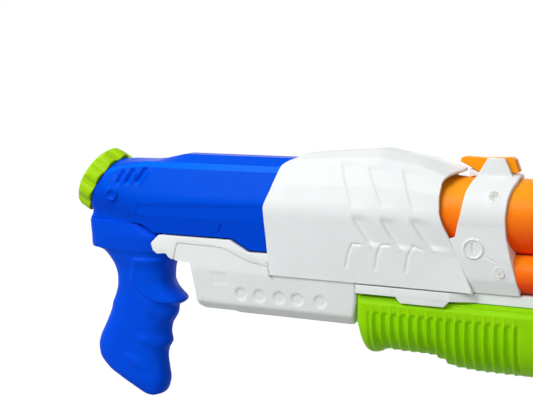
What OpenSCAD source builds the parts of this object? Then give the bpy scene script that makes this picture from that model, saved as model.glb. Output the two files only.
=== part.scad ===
// Large hand-pumped water squirter.
// A tank with a screw cap, a grip, a barrel with five outlets and a sliding pump handle.
// The construction frame has x forward along the barrel axis, z up and y = 0 on the joint of the halves.
// x = 0 is the rear edge of the body shell, and place() moves it to the frame of the finished part.

/* [Barrel] */
// Outer radius of the main barrel
barrel_r = 29.5; // [28:0.5:30.5]
// Wall of the main barrel
barrel_wall = 2.5; // [1.8:0.1:3.5]
// Length of the main barrel
barrel_len = 259; // [240:1:290]
// Outer radius of each lower tube
tube_r = 14.5; // [13:0.5:15]
// Wall of the lower tubes
tube_wall = 2; // [1.5:0.1:3]

/* [Tank] */
// Half the width of the tank
tank_half_w = 31; // [29:0.5:32]
// Length of the tank's straight part behind the body shell
tank_len = 119; // [110:1:130]
// Length of the tank inside the body shell
tank_in = 32; // [30:1:36]
// Height of the tank's flat rear top above the barrel axis
tank_top = 32; // [30:0.5:33]
// Rise of the front ridge over the flat rear top
ridge_rise = 6.5; // [5:0.5:7.5]
// Wall of the tank
tank_wall = 2.5; // [1.8:0.1:3.5]
// Depth of the tank floor over the grip, below the barrel axis
floor_rear = 22; // [20:0.5:24]
// Depth of the tank floor over the frame, below the barrel axis
floor_mid = 30; // [28:0.5:32]
// Depth of the sump at the front of the tank, below the barrel axis
floor_sump = 39; // [37:0.5:42]

/* [Filler] */
// Outer radius of the screw cap
cap_r = 31; // [30:0.5:33]
// Height of the screw cap
cap_h = 16; // [15:0.1:18]
// Wall of the cap's roof
cap_roof = 2.4; // [2:0.1:2.8]
// Number of finger lobes round the cap
cap_lobes = 10; // [8:1:14]
// Outer radius of the filler neck
neck_r = 24.5; // [22:0.5:25]
// Wall of the filler neck
neck_wall = 3.5; // [2.5:0.1:4.5]
// Thickness of the neck's flange
neck_flange = 2; // [1.5:0.1:3]
// Pitch of the cap's thread
thread_pitch = 5; // [4.5:0.1:5.2]
// Height of the thread ridges
thread_h = 1.4; // [1:0.1:1.6]
// Axial width of the thread ridges
thread_w = 1.6; // [1:0.1:2]
// Thickness of the rubber seal disc
seal_t = 1.8; // [1.5:0.1:2.2]

/* [Grip] */
// Half the width of the grip where the hand holds it
grip_half_w = 17.5; // [16:0.5:20]
// Half the width of the block under the tank
grip_block_half_w = 29; // [27:0.5:30]
// Length of the grip below the tank floor
grip_len = 161; // [150:1:175]
// Wall of the grip
grip_wall = 3; // [2.2:0.1:3.6]

/* [Frame] */
// Half the width of the lower frame
frame_half_w = 31; // [30:0.5:32]
// Wall of the lower frame
frame_wall = 2.5; // [2:0.1:3.2]
// Depth of the frame's box below the deck
frame_depth = 37; // [36:0.5:41]
// Length of the frame box ahead of the shell's rear edge
frame_len = 79; // [77:0.5:85]
// How far the upper rail stands out of the frame's side
rail_proud = 2; // [1:0.1:3]
// Radius of the round dimples on the frame's sides
dimple_r = 5; // [4:0.5:6]

/* [Body shell] */
// Half the greatest width of the body shell
shell_half_w = 37; // [36:0.5:39]
// Wall of the body shell
shell_wall = 2.5; // [2:0.1:3]
// Height of the shell's crest above the barrel axis
shell_top = 49; // [47:0.5:52]
// Length of the shell along its lower edge
shell_len = 173; // [170:1:176]

/* [Band and muzzle] */
// Wall of the white band round the barrel
band_wall = 3; // [2.5:0.1:4]
// Length of the band along the top
band_len = 29.5; // [28:0.5:34]
// Half the width of the sight
sight_half_w = 6; // [5:0.5:7]
// Length of the muzzle band
muzzle_len = 35; // [32:1:45]
// Thickness of the plate that holds the nozzles
plate_t = 4; // [3:0.5:6]
// Length of each nozzle ahead of the plate
nozzle_len = 11; // [8:0.5:14]
// Radius of each nozzle's flange
nozzle_r = 6; // [5:0.5:6.5]
// Radius of each nozzle's water hole
jet_r = 1.2; // [0.8:0.1:2]

/* [Pump] */
// Travel of the pump handle
pump_stroke = 90; // [70:1:95]
// Length of the pump handle
pump_len = 158; // [152:1:165]
// Half the width of the pump handle
pump_half_w = 30.5; // [29:0.5:32]
// Wall of the pump handle
pump_wall = 3; // [2.4:0.1:3.4]
// Depth of the handle's belly below its top edge
pump_depth = 58.5; // [56:0.5:62]
// Number of grip ribs round the handle
rib_count = 16; // [10:1:16]
// Spacing of the grip ribs
rib_pitch = 7.4; // [6.6:0.1:7.6]
// Height of the grip ribs
rib_h = 1.5; // [1:0.1:2]
// Radius of the pump cylinder's bore
cyl_bore_r = 11; // [10:0.5:11.5]
// Wall of the pump cylinder
cyl_wall = 2; // [1.6:0.1:2.5]
// Radius of the piston rod
rod_r = 4; // [3.5:0.1:5]
// Length of the piston
piston_len = 12; // [11:0.5:14]

/* [Water ways] */
// Outer radius of the delivery hose
hose_r = 4.8; // [4.4:0.1:5.2]
// Bore radius of the delivery hose
hose_bore_r = 3.1; // [2.8:0.1:3.4]
// Bend radius of the delivery hose
hose_bend = 25; // [22:0.5:27]
// Lift of each check valve
valve_lift = 2.5; // [1.5:0.1:3]
// Outer radius of each check valve's disc
valve_r = 5.2; // [4.5:0.1:5.4]
// Coil radius of the valve springs
spring_r = 3.6; // [3.2:0.1:4]
// Wire radius of the valve springs
wire_r = 0.45; // [0.3:0.05:0.5]

/* [Fasteners] */
// Shank radius of the assembly screws
screw_r = 1.5; // [1.2:0.1:1.8]
// Head radius of the assembly screws
head_r = 3; // [2.6:0.1:3.3]
// Head height of the assembly screws
head_h = 2.2; // [1.8:0.1:2.6]
// Radius of the screw bosses
boss_r = 4.6; // [4.3:0.1:5.2]

/* [Clearances] */
// Gap between seated pieces
fit = 0.2; // [0.1:0.05:0.3]
// Radial gap of a running fit
run = 0.05; // [0.03:0.01:0.1]
// Gap between the pump handle and its rail
slide_gap = 0.5; // [0.4:0.05:0.8]
// Gap between the main barrel and the lower tubes
tube_gap = 0.5; // [0.3:0.1:1]

/* [Hidden] */
$fn = 64;
// Overlap used in cuts
over = 1;
tube_y = tube_r + tube_gap;
tube_z = -sqrt(pow(barrel_r + tube_r + tube_gap, 2) - tube_y * tube_y);
// Height of the deck on which shell, band and muzzle stand
deck_z = tube_z - tube_r - tube_gap;
// Height of the frame's underside
frame_z = deck_z - frame_depth;
grip_bottom = -(floor_rear + fit + grip_len);

// Filler neck: a disc square to an axis that leans back and up
neck_tilt = 60;
neck_c = [-(tank_len + 45), 0, tank_top - 25.4];
end_r = tank_half_w - 1.5;
neck_n = [-sin(neck_tilt), 0, cos(neck_tilt)];
neck_v = [cos(neck_tilt), 0, sin(neck_tilt)];
skirt_gap = 0.6;
neck_h = cap_h - cap_roof - seal_t - fit;
neck_bore = neck_r - neck_wall;
thread_turns = 1;
cap_ridge_z = neck_flange + 2;
neck_ridge_z = cap_ridge_z + thread_pitch / 2;

// Stations along the barrel
barrel_x0 = shell_len - 73;
barrel_x1 = barrel_x0 + barrel_len;
band_x0 = shell_len - 7;
band_x1 = band_x0 + band_len;
tube_x0 = band_x1 - 16;
muzzle_x0 = barrel_x1 + 9 - muzzle_len;
muzzle_x1 = barrel_x1 + 9;
manifold_t = 7;
manifold_x0 = barrel_x1 + fit;
plate_x0 = manifold_x0 + manifold_t + fit;
plate_x1 = plate_x0 + plate_t;
nozzle_x1 = plate_x1 + nozzle_len;
outline_r = barrel_r + 1.5;
outline_tube_r = tube_r + 1.5;

// Pump line
rail_side_w = 25;
rail_wall = 2.5;
rail_neck_w = 19;
rail_lip_t = 2.7;
rail_flange_w = 22;
rail_ledge_z = deck_z - 8.5;
lip_z1 = rail_ledge_z - slide_gap;
lip_z0 = lip_z1 - rail_lip_t;
flange_z1 = lip_z0 - slide_gap;
flange_z0 = flange_z1 - rail_lip_t;
cyl_r = cyl_bore_r + cyl_wall;
pump_z = deck_z - frame_depth / 2 - 0.5;
pump_x0 = frame_len + 1;
pump_x1 = pump_x0 + pump_len;
block_x0 = -16;
block_x1 = tank_in + 28;
block_half_w = cyl_r + 3;
block_z0 = frame_z + frame_wall + fit;
block_z1 = deck_z - 1;
socket_x = block_x1 - 6;
cyl_x0 = socket_x + 1 + fit;
piston_x0 = cyl_x0 + 5;
piston_x1 = piston_x0 + piston_len;
gland_spigot = 6;
cyl_x1 = piston_x1 + pump_stroke + gland_spigot + 8;
gland_x1 = cyl_x1 + 6;
stud_r = rod_r - 1;
web_t = 3.5;
web_x0 = pump_x1 - 14;
nut_t = 5;
nut_r = rod_r + 3.5;
rail_x0 = frame_len + 0.3;
rail_x1 = muzzle_x1;

// Water ways
inlet_x = -4;
outlet_x = block_x1 - 18;
spigot_r = 6;
spigot_bore = 3.5;
port_r = 2.5;
chamber_r = valve_r + 0.8;
inlet_seat_z = block_z1 - 8;
plug_t = 4;
disc_t = 1.6;
stem_r = 1.5;
stem_len = 3.4;
inlet_floor_z = inlet_seat_z - disc_t - stem_len - valve_lift - 6.5;
outlet_seat_z = block_z1 - plug_t - valve_lift - disc_t - stem_len - 0.5;
barb_r = hose_bore_r - 0.1;
barb_len = 12;
hose_z0 = block_z1 + 2 + fit;
hose_x1 = barrel_x0 - 3 - fit;

// Rear end of the frame, just ahead of the grip's block
frame_x0 = -tank_len + 20.5;

// Place of the finished part: bottom of the grip at z = 0, middle of the length at x = 0
cap_top_h = neck_flange + skirt_gap + cap_h;
cap_rear = (neck_c + cap_top_h * neck_n - (cap_r - 4) * neck_v)[0];
shift = [-(cap_rear + nozzle_x1) / 2, 0, -grip_bottom];

// Screw places as x, z and depth of the head's seat from the mid plane
grip_screws_at = [[-tank_len - 23, -38, 14], [-tank_len - 14, -floor_rear - 83, 8],
    [-tank_len - 24, grip_bottom + 25, 8]];
shell_screws_at = [[60, 28, 16], [66, -46, 16], [133, -43.5, 16]];
frame_screws_at = [[frame_x0 + 14.5, -floor_mid - 9, 16], [-50, -80, 14], [-30, -floor_mid - 20, 16]];
pump_screws_at = [for (p = [[16, 38], [78, 44], [134, 42]])
    [pump_x0 + p[0], lip_z1 - p[1], 12]];
screw_bite = 9;

// Outline of the grip: depth at a grip length of 163, back and front from the end of the tank's straight
// part, share of the hand width, roundness
grip_rows = [
    [0, -59.3, 0, -1, 4], [8, -59.3, 11.7, -1, 4], [13, -59.3, 20, -0.99, 4],
    [22.5, -59.8, 19.5, -0.92, 4], [25, -59.6, 19.4, -0.9, 3.6], [28, -51.5, 19, 1.42, 3],
    [36, -44.5, 16.5, 1.28, 2.7], [44, -40.5, 14, 1.14, 2.6], [53, -38.5, 13.5, 1.07, 2.6],
    [61, -39, 17, 1.02, 2.6], [67, -40.8, 23.5, 1, 2.5], [71.5, -42.3, 28, 1, 2.5],
    [74.5, -43.5, 25.5, 1, 2.5], [78, -44.8, 19.5, 1, 2.6], [85, -46.5, 18.5, 1, 2.6],
    [97, -51.5, 12.5, 1, 2.6], [105, -55.5, 11.5, 1, 2.6], [112, -59, 12.5, 1, 2.6],
    [121, -61, 8.5, 1, 2.6], [129, -60, 7.5, 1, 2.6], [140, -51.5, 8.5, 1, 2.6],
    [148, -38.5, 9.5, 0.97, 2.5],
    [155, -25, 8.3, 0.88, 2.4], [161, -13.5, 5.5, 0.72, 2.2], [163, -8, 1, 0.5, 2]];

// Belly of the pump handle: distance from its rear end and depth below its top edge at a depth of 61
belly = [[0, 37], [2, 47], [5, 53.5], [9, 55], [15, 53.5], [20, 50.5], [39, 51], [56, 51],
    [66, 54], [75, 59], [83, 60], [100, 61], [135, 61], [156, 60], [158, 56], [400, 56]];
// Narrowing of the pump handle towards its ends
pinch = [[0, 0.9], [3, 0.97], [8, 1], [150, 1], [158, 0.96], [400, 0.96]];

tank_blue = [0.05, 0.27, 0.9];
lime = [0.5, 0.8, 0.05];
shell_white = [0.93, 0.94, 0.93];
jet_orange = [1, 0.5, 0.08];
seal_black = [0.1, 0.1, 0.1];
steel = [0.7, 0.7, 0.72];
clear_grey = [0.8, 0.85, 0.88];

// Moves the construction frame to the frame of the finished part
module place() { translate(shift) children(); }

// Draws a left-hand piece, or its mirror image for the right-hand side
module sided(side) { if (side < 0) mirror([0, 1, 0]) children(); else children(); }

function unit(v) = v / norm(v);
function left_of(d) = [-d[1], d[0]];

// Outward direction at point i of an open chain that runs from the top round to the bottom
function chain_dir(p, i) = let (
    a = i > 0 ? left_of(unit(p[i] - p[i - 1])) : left_of(unit(p[1] - p[0])),
    b = i < len(p) - 1 ? left_of(unit(p[i + 1] - p[i])) : a)
    (a + b) / (1 + a * b);

// Chain moved inwards by a wall
function inset(p, w) = [for (i = [0:len(p) - 1]) p[i] - w * chain_dir(p, i)];

// First and last points of a ring moved past the mid plane, so that a cut leaves no skin there
function past(r) = [for (i = [0:len(r) - 1])
    i == 0 || i == len(r) - 1 ? [r[i][0], -over, r[i][2]] : r[i]];

// Ring in the plane x from a chain of y and z
function at_x(x, p) = [for (q = p) [x, q[0], q[1]]];

// Closed solid through rings of equal count
module loft(rings) {
    n = len(rings[0]);
    m = len(rings);
    polyhedron(
        points = [for (r = rings) for (q = r) q],
        faces = concat(
            [[for (j = [n - 1:-1:0]) j]],
            [[for (j = [0:n - 1]) (m - 1) * n + j]],
            [for (i = [0:m - 2]) for (j = [0:n - 1]) let (k = (j + 1) % n)
                [i * n + j, i * n + k, (i + 1) * n + k]],
            [for (i = [0:m - 2]) for (j = [0:n - 1]) let (k = (j + 1) % n)
                [i * n + j, (i + 1) * n + k, (i + 1) * n + j]]));
}

// Cylinder along x from x0 to x1
module rod_x(r, x0, x1, z = 0, y = 0) {
    translate([x0, y, z]) rotate([0, 90, 0]) cylinder(r = r, h = x1 - x0);
}

// Cylinder along y from y0 to y1
module rod_y(r, x, z, y0, y1) {
    translate([x, y0, z]) rotate([-90, 0, 0]) cylinder(r = r, h = y1 - y0);
}

// Tube along x
module tube_x(r, bore, x0, x1, z = 0, y = 0) {
    difference() {
        rod_x(r, x0, x1, z, y);
        rod_x(bore, x0 - over, x1 + over, z, y);
    }
}

// Outline in x and z drawn out from y0 to y1
module slab(p, y0, y1) {
    translate([0, y1, 0]) rotate([90, 0, 0]) linear_extrude(y1 - y0) polygon(p);
}

// Outline in y and z drawn out from x0 to x1
module beam(p, x0, x1) {
    translate([x0, 0, 0]) rotate([90, 0, 90]) linear_extrude(x1 - x0) polygon(p);
}

// Everything between two planes square to x
module span(x0, x1) { translate([x0, -60, -200]) cube([x1 - x0, 120, 300]); }

// Upright cylinder from z0 to z1
module post(r, x, z0, z1) { translate([x, 0, z0]) cylinder(r = r, h = z1 - z0); }

// Bosses from the mid plane outwards, on the left-hand side
module bosses(places) { for (p = places) rod_y(boss_r, p[0], p[1], 0, 60); }

// Screw holes in the bosses: counterbored on the left, blind on the right
module boss_holes(places, side) {
    for (p = places)
        if (side > 0) {
            rod_y(screw_r + fit, p[0], p[1], -over, p[2] + over);
            rod_y(head_r + 2 * fit, p[0], p[1], p[2], 60);
        } else rod_y(screw_r + run, p[0], p[1], -over, screw_bite + 1);
}

// Round-headed screws with a cross recess, driven from the left
module screws(places) {
    for (p = places) translate([p[0], p[2], p[1]]) rotate([-90, 0, 0]) difference() {
        union() {
            translate([0, 0, 0.05]) cylinder(r = head_r, h = head_h);
            translate([0, 0, -p[2] - screw_bite]) cylinder(r = screw_r, h = p[2] + screw_bite + 1);
        }
        for (a = [0, 90]) rotate(a) translate([-head_r * 0.6, -0.4, head_h - 1])
            cube([head_r * 1.2, 0.8, 2]);
    }
}

// Section of the tank from the top centre round to the bottom centre
function tank_chain(top, floor_z) = [[0, top], [8, top], [18, tank_top - 0.2], [23, tank_top - 5],
    [tank_half_w, 0], [tank_half_w, -floor_rear + 8], [tank_half_w - 2, floor_z], [0, floor_z]];
// Round end of the tank under the cap, inset by a wall
function tank_end(w) = [for (a = [0, 15, 33, 48, 88, 118, 150, 180])
    neck_c - w * neck_n + (end_r - w) * (cos(a) * neck_v + sin(a) * [0, 1, 0])];
// Bulged ring between the round end and the straight part, with a flat heel over the grip
function tank_lean(w) = let (k = 0.68, e = tank_end(w), n = len(e) - 1,
    p = at_x(-tank_len, inset(tank_chain(tank_top, -floor_rear), w)))
    [for (i = [0:n]) let (q = k * e[i] + (1 - k) * p[i])
        i < n - 1 ? [q[0], q[1] * 1.025, q[2] + (i < 4 ? 0.6 : 0)]
        : [neck_c[0] - (i == n ? 11.5 : 7) + 1.5 * w, i == n ? 0 : p[i][1] - 4.5, p[i][2]]];
function tank_rings(w) = let (top = tank_top + ridge_rise) concat([tank_end(w), tank_lean(w)],
    [for (s = [[-tank_len, tank_top, -floor_rear],
            [-tank_len + 4, tank_top, -(2 * floor_rear + floor_mid) / 3],
            [-tank_len + 12, tank_top + 0.37 * ridge_rise, -floor_mid],
            [-tank_len + 25.5, top, -floor_mid], [-32, top, -floor_mid], [-15, top, -floor_sump],
            [tank_in - w, top, -floor_sump]])
        at_x(s[0], inset(tank_chain(s[1], s[2]), w))]);

// Half of the blown tank, with holes for the neck and the outlet
module tank_half(side) {
    color(tank_blue) place() sided(side) difference() {
        loft(tank_rings(0));
        loft([for (r = tank_rings(tank_wall)) past(r)]);
        translate(neck_c) rotate([0, -neck_tilt, 0]) translate([0, 0, -tank_wall - 2])
            cylinder(r = neck_bore + 1.5 + fit, h = tank_wall + 4);
        post(spigot_r + fit, inlet_x, -floor_sump - over, -floor_sump + tank_wall + over);
    }
}

module tank_right() { tank_half(-1); }
module tank_left() { tank_half(1); }

// Stands children on the round end of the tank, with z along the neck axis
module on_neck() { translate(neck_c) rotate([0, -neck_tilt, 0]) children(); }

// Helical ridge of one hand between two radii, starting at height z0 and angle a0
module thread_ridge(r_in, r_out, z0, a0) {
    steps = round(thread_turns * 24);
    // Ridge height tapers to nothing at both ends
    function root(r0, r1, t) = r0 + (r1 - r0) * min(1, 8 * t, 8 * (1 - t));
    loft([for (i = [0:steps]) let (t = i / steps, a = a0 + 360 * thread_turns * t,
            z = z0 + thread_pitch * thread_turns * t,
            far = r_out > r_in ? root(r_in + 0.25, r_out, t) : root(r_in - 0.25, r_out, t),
            h = thread_w / 2)
        let (k = r_out > r_in ? h : -h)
        [[r_in * cos(a), r_in * sin(a), z + k], [r_in * cos(a), r_in * sin(a), z - k],
         [far * cos(a), far * sin(a), z - k * 0.5], [far * cos(a), far * sin(a), z + k * 0.5]]]);
}

// Threaded neck welded on the round end
module filler_neck() {
    color(tank_blue) place() on_neck() union() {
        difference() {
            union() {
                translate([0, 0, fit]) cylinder(r = neck_r + 3.5, h = neck_flange - fit);
                translate([0, 0, -tank_wall]) cylinder(r = neck_bore + 1.5, h = tank_wall + 1);
                translate([0, 0, neck_flange - 0.1]) cylinder(r = neck_r, h = neck_h + skirt_gap + 0.1);
            }
            translate([0, 0, -tank_wall - over]) cylinder(r = neck_bore, h = 60);
        }
        thread_ridge(neck_r - 0.3, neck_r + thread_h, neck_ridge_z, 0);
    }
}

cap_in_r = neck_r + thread_h + 0.6;
cap_ridge_r = neck_r + 0.5;
seal_z0 = neck_flange + skirt_gap + neck_h + run;

// Rubber disc between the neck's rim and the cap's roof
module cap_seal() {
    color(seal_black) place() on_neck() translate([0, 0, seal_z0]) difference() {
        cylinder(r = cap_in_r - 0.5, h = seal_t);
        translate([0, 0, -over]) cylinder(r = 8, h = seal_t + 2 * over);
    }
}

// Screw cap with finger lobes and an inner thread
module tank_cap() {
    z0 = neck_flange + skirt_gap;
    color(lime) place() on_neck() union() {
        difference() {
            intersection() {
                translate([0, 0, z0]) rotate_extrude() polygon([[0, 0], [cap_r, 0], [cap_r, cap_h - 6],
                    [cap_r - 1.2, cap_h - 2.6], [cap_r - 4, cap_h - 0.5], [cap_r - 6, cap_h], [0, cap_h]]);
                translate([0, 0, z0]) union() {
                    cylinder(r = cap_r - 1.8, h = cap_h);
                    for (i = [0:cap_lobes - 1]) rotate(360 * i / cap_lobes)
                        translate([cap_r - 8, 0, 0]) cylinder(r = 8, h = cap_h);
                }
            }
            translate([0, 0, z0 - over]) cylinder(r = cap_in_r, h = cap_h - cap_roof + over);
            translate([0, 0, z0]) cylinder(r = 2, h = 60);
        }
        thread_ridge(cap_in_r + 0.3, cap_ridge_r, cap_ridge_z, 0);
    }
}

// Rubber air valve pressed into the middle of the cap
module cap_vent() {
    z1 = neck_flange + skirt_gap + cap_h;
    color(seal_black) place() on_neck() union() {
        translate([0, 0, z1 - cap_roof - run - 1.3]) cylinder(r = 5, h = 1.3);
        translate([0, 0, z1 - cap_roof - 1]) cylinder(r = 2 - run, h = cap_roof + 0.8);
    }
}

// Water outlet of the tank: a flanged tube through the sump floor
module tank_outlet() {
    z1 = -floor_sump + tank_wall + fit;
    color(clear_grey) place() difference() {
        union() {
            post(spigot_r + 3, inlet_x, z1, z1 + 2);
            post(spigot_r, inlet_x, block_z1 - 6 + fit, z1 + 1);
        }
        post(spigot_bore, inlet_x, block_z1 - 10, z1 + 4);
    }
}

// Rubber sleeve that seals the outlet between the tank and the valve block
module outlet_sleeve() {
    color(seal_black) place() difference() {
        post(spigot_r + 3, inlet_x, block_z1 + fit, -floor_sump - fit);
        post(spigot_r + fit, inlet_x, block_z1 - over, -floor_sump + over);
    }
}

// One level of the grip, from the back round to the front
function grip_ring(row, w) = let (d = row[0] * grip_len / 163,
    z = -(floor_rear + fit + d), c = (row[1] + row[2]) / 2 - tank_len, a = (row[2] - row[1]) / 2 - w,
    h = (row[3] < 0 ? -row[3] * grip_block_half_w : row[3] * grip_half_w) - w, e = 2 / row[4])
    [for (t = [180:-15:0]) [c + a * sign(cos(t)) * pow(abs(cos(t)), e),
        t == 0 || t == 180 ? 0 : h * pow(sin(t), e), z]];
grip_n = len(grip_rows);

// Half of the grip, hollow, with screw bosses
module grip_half(side) {
    outer = [for (i = [grip_n - 1:-1:0]) grip_ring(grip_rows[i], 0)];
    middle = [for (i = [grip_n - 1:-1:0]) grip_ring(grip_rows[i], grip_wall / 2)];
    inner = [for (i = [grip_n - 3:-1:1]) past(grip_ring(grip_rows[i], grip_wall))];
    color(tank_blue) place() sided(side) difference() {
        union() {
            difference() { loft(outer); loft(inner); }
            intersection() { loft(middle); bosses(grip_screws_at); }
        }
        boss_holes(grip_screws_at, side);
    }
}

module grip_right() { grip_half(-1); }
module grip_left() { grip_half(1); }
module grip_screws() { color(steel) place() screws(grip_screws_at); }

// Side outline of the frame: finger guard at the rear, box under the shell
frame_side = [[frame_x0, -floor_mid - fit], [frame_x0, -46], [frame_x0 + 5.5, -46], [frame_x0 + 7.5, -49],
    [frame_x0 + 13.5, -52], [-71, -52],
    [-68, -74], [-66, frame_z + 4], [-62, frame_z + 1.5], [-31, frame_z + 1.5],
    [-28, frame_z], [frame_len - 5, frame_z], [frame_len - 3, frame_z + 6],
    [frame_len, -72], [frame_len, deck_z - fit], [4.8, deck_z - fit], [3.1, -floor_sump - fit],
    [-15.1, -floor_sump - fit], [-32.1, -floor_mid - fit]];
// Hollow of the frame, open upwards
frame_hollow = [[frame_x0 + frame_wall, 0], [frame_x0 + frame_wall, -46 + frame_wall],
    [frame_x0 + 6.5, -46 + frame_wall], [frame_x0 + 8.5, -49 + frame_wall],
    [frame_x0 + 13.5, -52 + frame_wall],
    [-71 + frame_wall, -52 + frame_wall], [-68 + frame_wall, -74],
    [-66 + frame_wall, frame_z + 5 + frame_wall],
    [-61, frame_z + 1.5 + frame_wall], [-31, frame_z + 1.5 + frame_wall],
    [-28, frame_z + frame_wall], [frame_len - 5 - frame_wall, frame_z + frame_wall],
    [frame_len - 3 - frame_wall, frame_z + 6 + frame_wall], [frame_len - frame_wall, -72],
    [frame_len - frame_wall, 0]];
// Cross-section of the frame, half
function frame_cross(w) = let (b = frame_z + w) [[w > 0 ? -over : 0, 0], [frame_half_w - w, 0],
    [frame_half_w - w, deck_z], [frame_half_w - 4 - w, frame_z + 8],
    [frame_half_w - 11 - w / 2, b], [w > 0 ? -over : 0, b]];
// Raised rail along the frame's upper edge, ending in a nose beside the grip
frame_rail = [[frame_x0 - 9.5, -floor_mid - 8], [frame_x0 - 1.5, -floor_mid - fit],
    [-32.1, -floor_mid - fit], [-15.1, -floor_sump - fit], [3.1, -floor_sump - fit],
    [4.1, -floor_sump - 11], [-15, -floor_sump - 8],
    [-39, -floor_mid - 7], [frame_x0 + 16.5, -floor_mid - 6],
    [frame_x0 + 12.5, -51.5], [frame_x0 + 7.5, -49], [frame_x0 + 5.5, -46], [frame_x0 - 3.5, -47],
    [frame_x0 - 7.5, -44]];
dimples_x = [-23, -6, 12, 28, 48];

// Half of the lower frame
module frame_half(side) {
    y_rail = frame_half_w + rail_proud;
    color(shell_white) place() sided(side) difference() {
        union() {
            difference() {
                intersection() { slab(frame_side, 0, 60); beam(frame_cross(0), -120, 120); }
                intersection() { slab(frame_hollow, -over, 60); beam(frame_cross(frame_wall), -120, 120); }
            }
            intersection() {
                slab(frame_rail, frame_half_w - frame_wall, y_rail);
                union() {
                    translate([frame_x0, 0, -100]) cube([200, 60, 100]);
                    translate([frame_x0 - 20, grip_block_half_w + 0.3, -100]) cube([120, 60, 100]);
                }
            }
            intersection() {
                slab(frame_side, 0, 60);
                beam(frame_cross(0), -120, 120);
                bosses(frame_screws_at);
            }
        }
        boss_holes(frame_screws_at, side);
        rod_x(cyl_r + 0.25, frame_len - 12, frame_len + 5, pump_z);
        for (x = dimples_x) rod_y(dimple_r, x, -76, frame_half_w - 3.2, 60);
        translate([-50, frame_half_w - 2, -69]) cube([15, 20, 10]);
    }
}

module frame_right() { frame_half(-1); }
module frame_left() { frame_half(1); }
module frame_screws() { color(steel) place() screws(frame_screws_at); }

// Section of the body shell: roof half width, height, roof edge, upper flank, widest point, lower flank
function shell_chain(flat, top, edge_y, edge_z, mid_y, mid_z, wide) = [[0, top], [flat, top],
    [edge_y, edge_z], [mid_y, mid_z], [wide, 0], [wide - 2.5, -30], [shell_half_w - 4.5, deck_z]];
shell_front_r = barrel_r + shell_wall + 1.4;
shell_rows = [
    [-6, shell_chain(10, shell_top - 8, 23, shell_top - 13, 30.5, 18, shell_half_w - 1)],
    [48, shell_chain(9, shell_top - 2.5, 23, shell_top - 8, 31, 20, shell_half_w)],
    [95, shell_chain(8, shell_top, 23, shell_top - 6, 31, 21, shell_half_w)],
    [shell_len - 45, shell_chain(9, shell_top - 5.5, 22, shell_top - 11, 30.5, 19, shell_half_w - 1)],
    [shell_len - 9, shell_chain(10, shell_front_r, 0.72 * shell_front_r + 0.2, 0.77 * shell_front_r,
        0.93 * shell_front_r, 0.43 * shell_front_r, shell_front_r + 0.4)],
    [shell_len + 6, shell_chain(10, shell_front_r, 0.72 * shell_front_r + 0.2, 0.77 * shell_front_r,
        0.93 * shell_front_r, 0.43 * shell_front_r, shell_front_r + 0.4)]];
// Side outline of the shell, with the slanted rear edge and the swept front edge
shell_side = [[25, 70], [27, shell_top - 7], [18, shell_top - 11], [12, shell_top - 15], [10, 29], [5, 14],
    [0, 1], [3.3, -floor_sump], [5, deck_z], [shell_len, deck_z], [shell_len - 19.5, -15],
    [shell_len - 24, -6], [shell_len - 27, 3], [shell_len - 28, 16], [shell_len - 27, 27],
    [shell_len - 22, 33], [shell_len - 11, 36], [shell_len - 11, 70]];

// Inner ring of the shell, open downwards
function shell_hollow(row) = let (p = inset(row[1], shell_wall), n = len(p)) at_x(row[0], concat(
    [[-over, p[0][1]]], [for (i = [1:n - 2]) p[i]],
    [[p[n - 1][0], deck_z - over], [-over, deck_z - over]]));
function shell_full(row) = at_x(row[0], concat(row[1], [[0, deck_z]]));

// Half of the body shell
module shell_half(side) {
    color(shell_white) place() sided(side) difference() {
        intersection() {
            slab(shell_side, -over, 60);
            union() {
                difference() {
                    loft([for (r = shell_rows) shell_full(r)]);
                    loft([for (r = shell_rows)
                        shell_hollow([r[0] + (r[0] < 0 ? -5 : r[0] > shell_len ? 5 : 0), r[1]])]);
                }
                intersection() {
                    loft([for (r = shell_rows) shell_full(r)]);
                    bosses(shell_screws_at);
                }
            }
        }
        boss_holes(shell_screws_at, side);
    }
}

module shell_right() { shell_half(-1); }
module shell_left() { shell_half(1); }
module shell_screws() { color(steel) place() screws(shell_screws_at); }

// Band round the barrel and the rear ends of the lower tubes
band_r = barrel_r + fit + band_wall;
band_side = [[band_x0 + 5, 70], [band_x0 + 4, 28], [band_x0, 4], [band_x0 - 5, -7], [band_x0 - 7.9, -14.8],
    [shell_len - 19.1, -15], [shell_len + 0.4, deck_z + fit], [band_x1 + 12, deck_z + fit],
    [band_x1 + 5, -29], [band_x1 + 1, -12], [band_x1, 2], [band_x1, 70]];
band_cross = [[0, 0], [band_r - 0.5, 0], [band_r - 1, -30], [band_r - 2.5, -46], [band_r - 6, deck_z],
    [0, deck_z]];
pad_z = band_r + 0.5;
ear_w = 4;
sight_x = band_x0 + 4;
pin_x = sight_x + 14;
pin_z = pad_z + 6;
// Short screws through the band into the barrel and the lower tubes, as x and z
band_screws_at = [[band_x0 + 20, 18], [band_x0 + 27, -40]];

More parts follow.
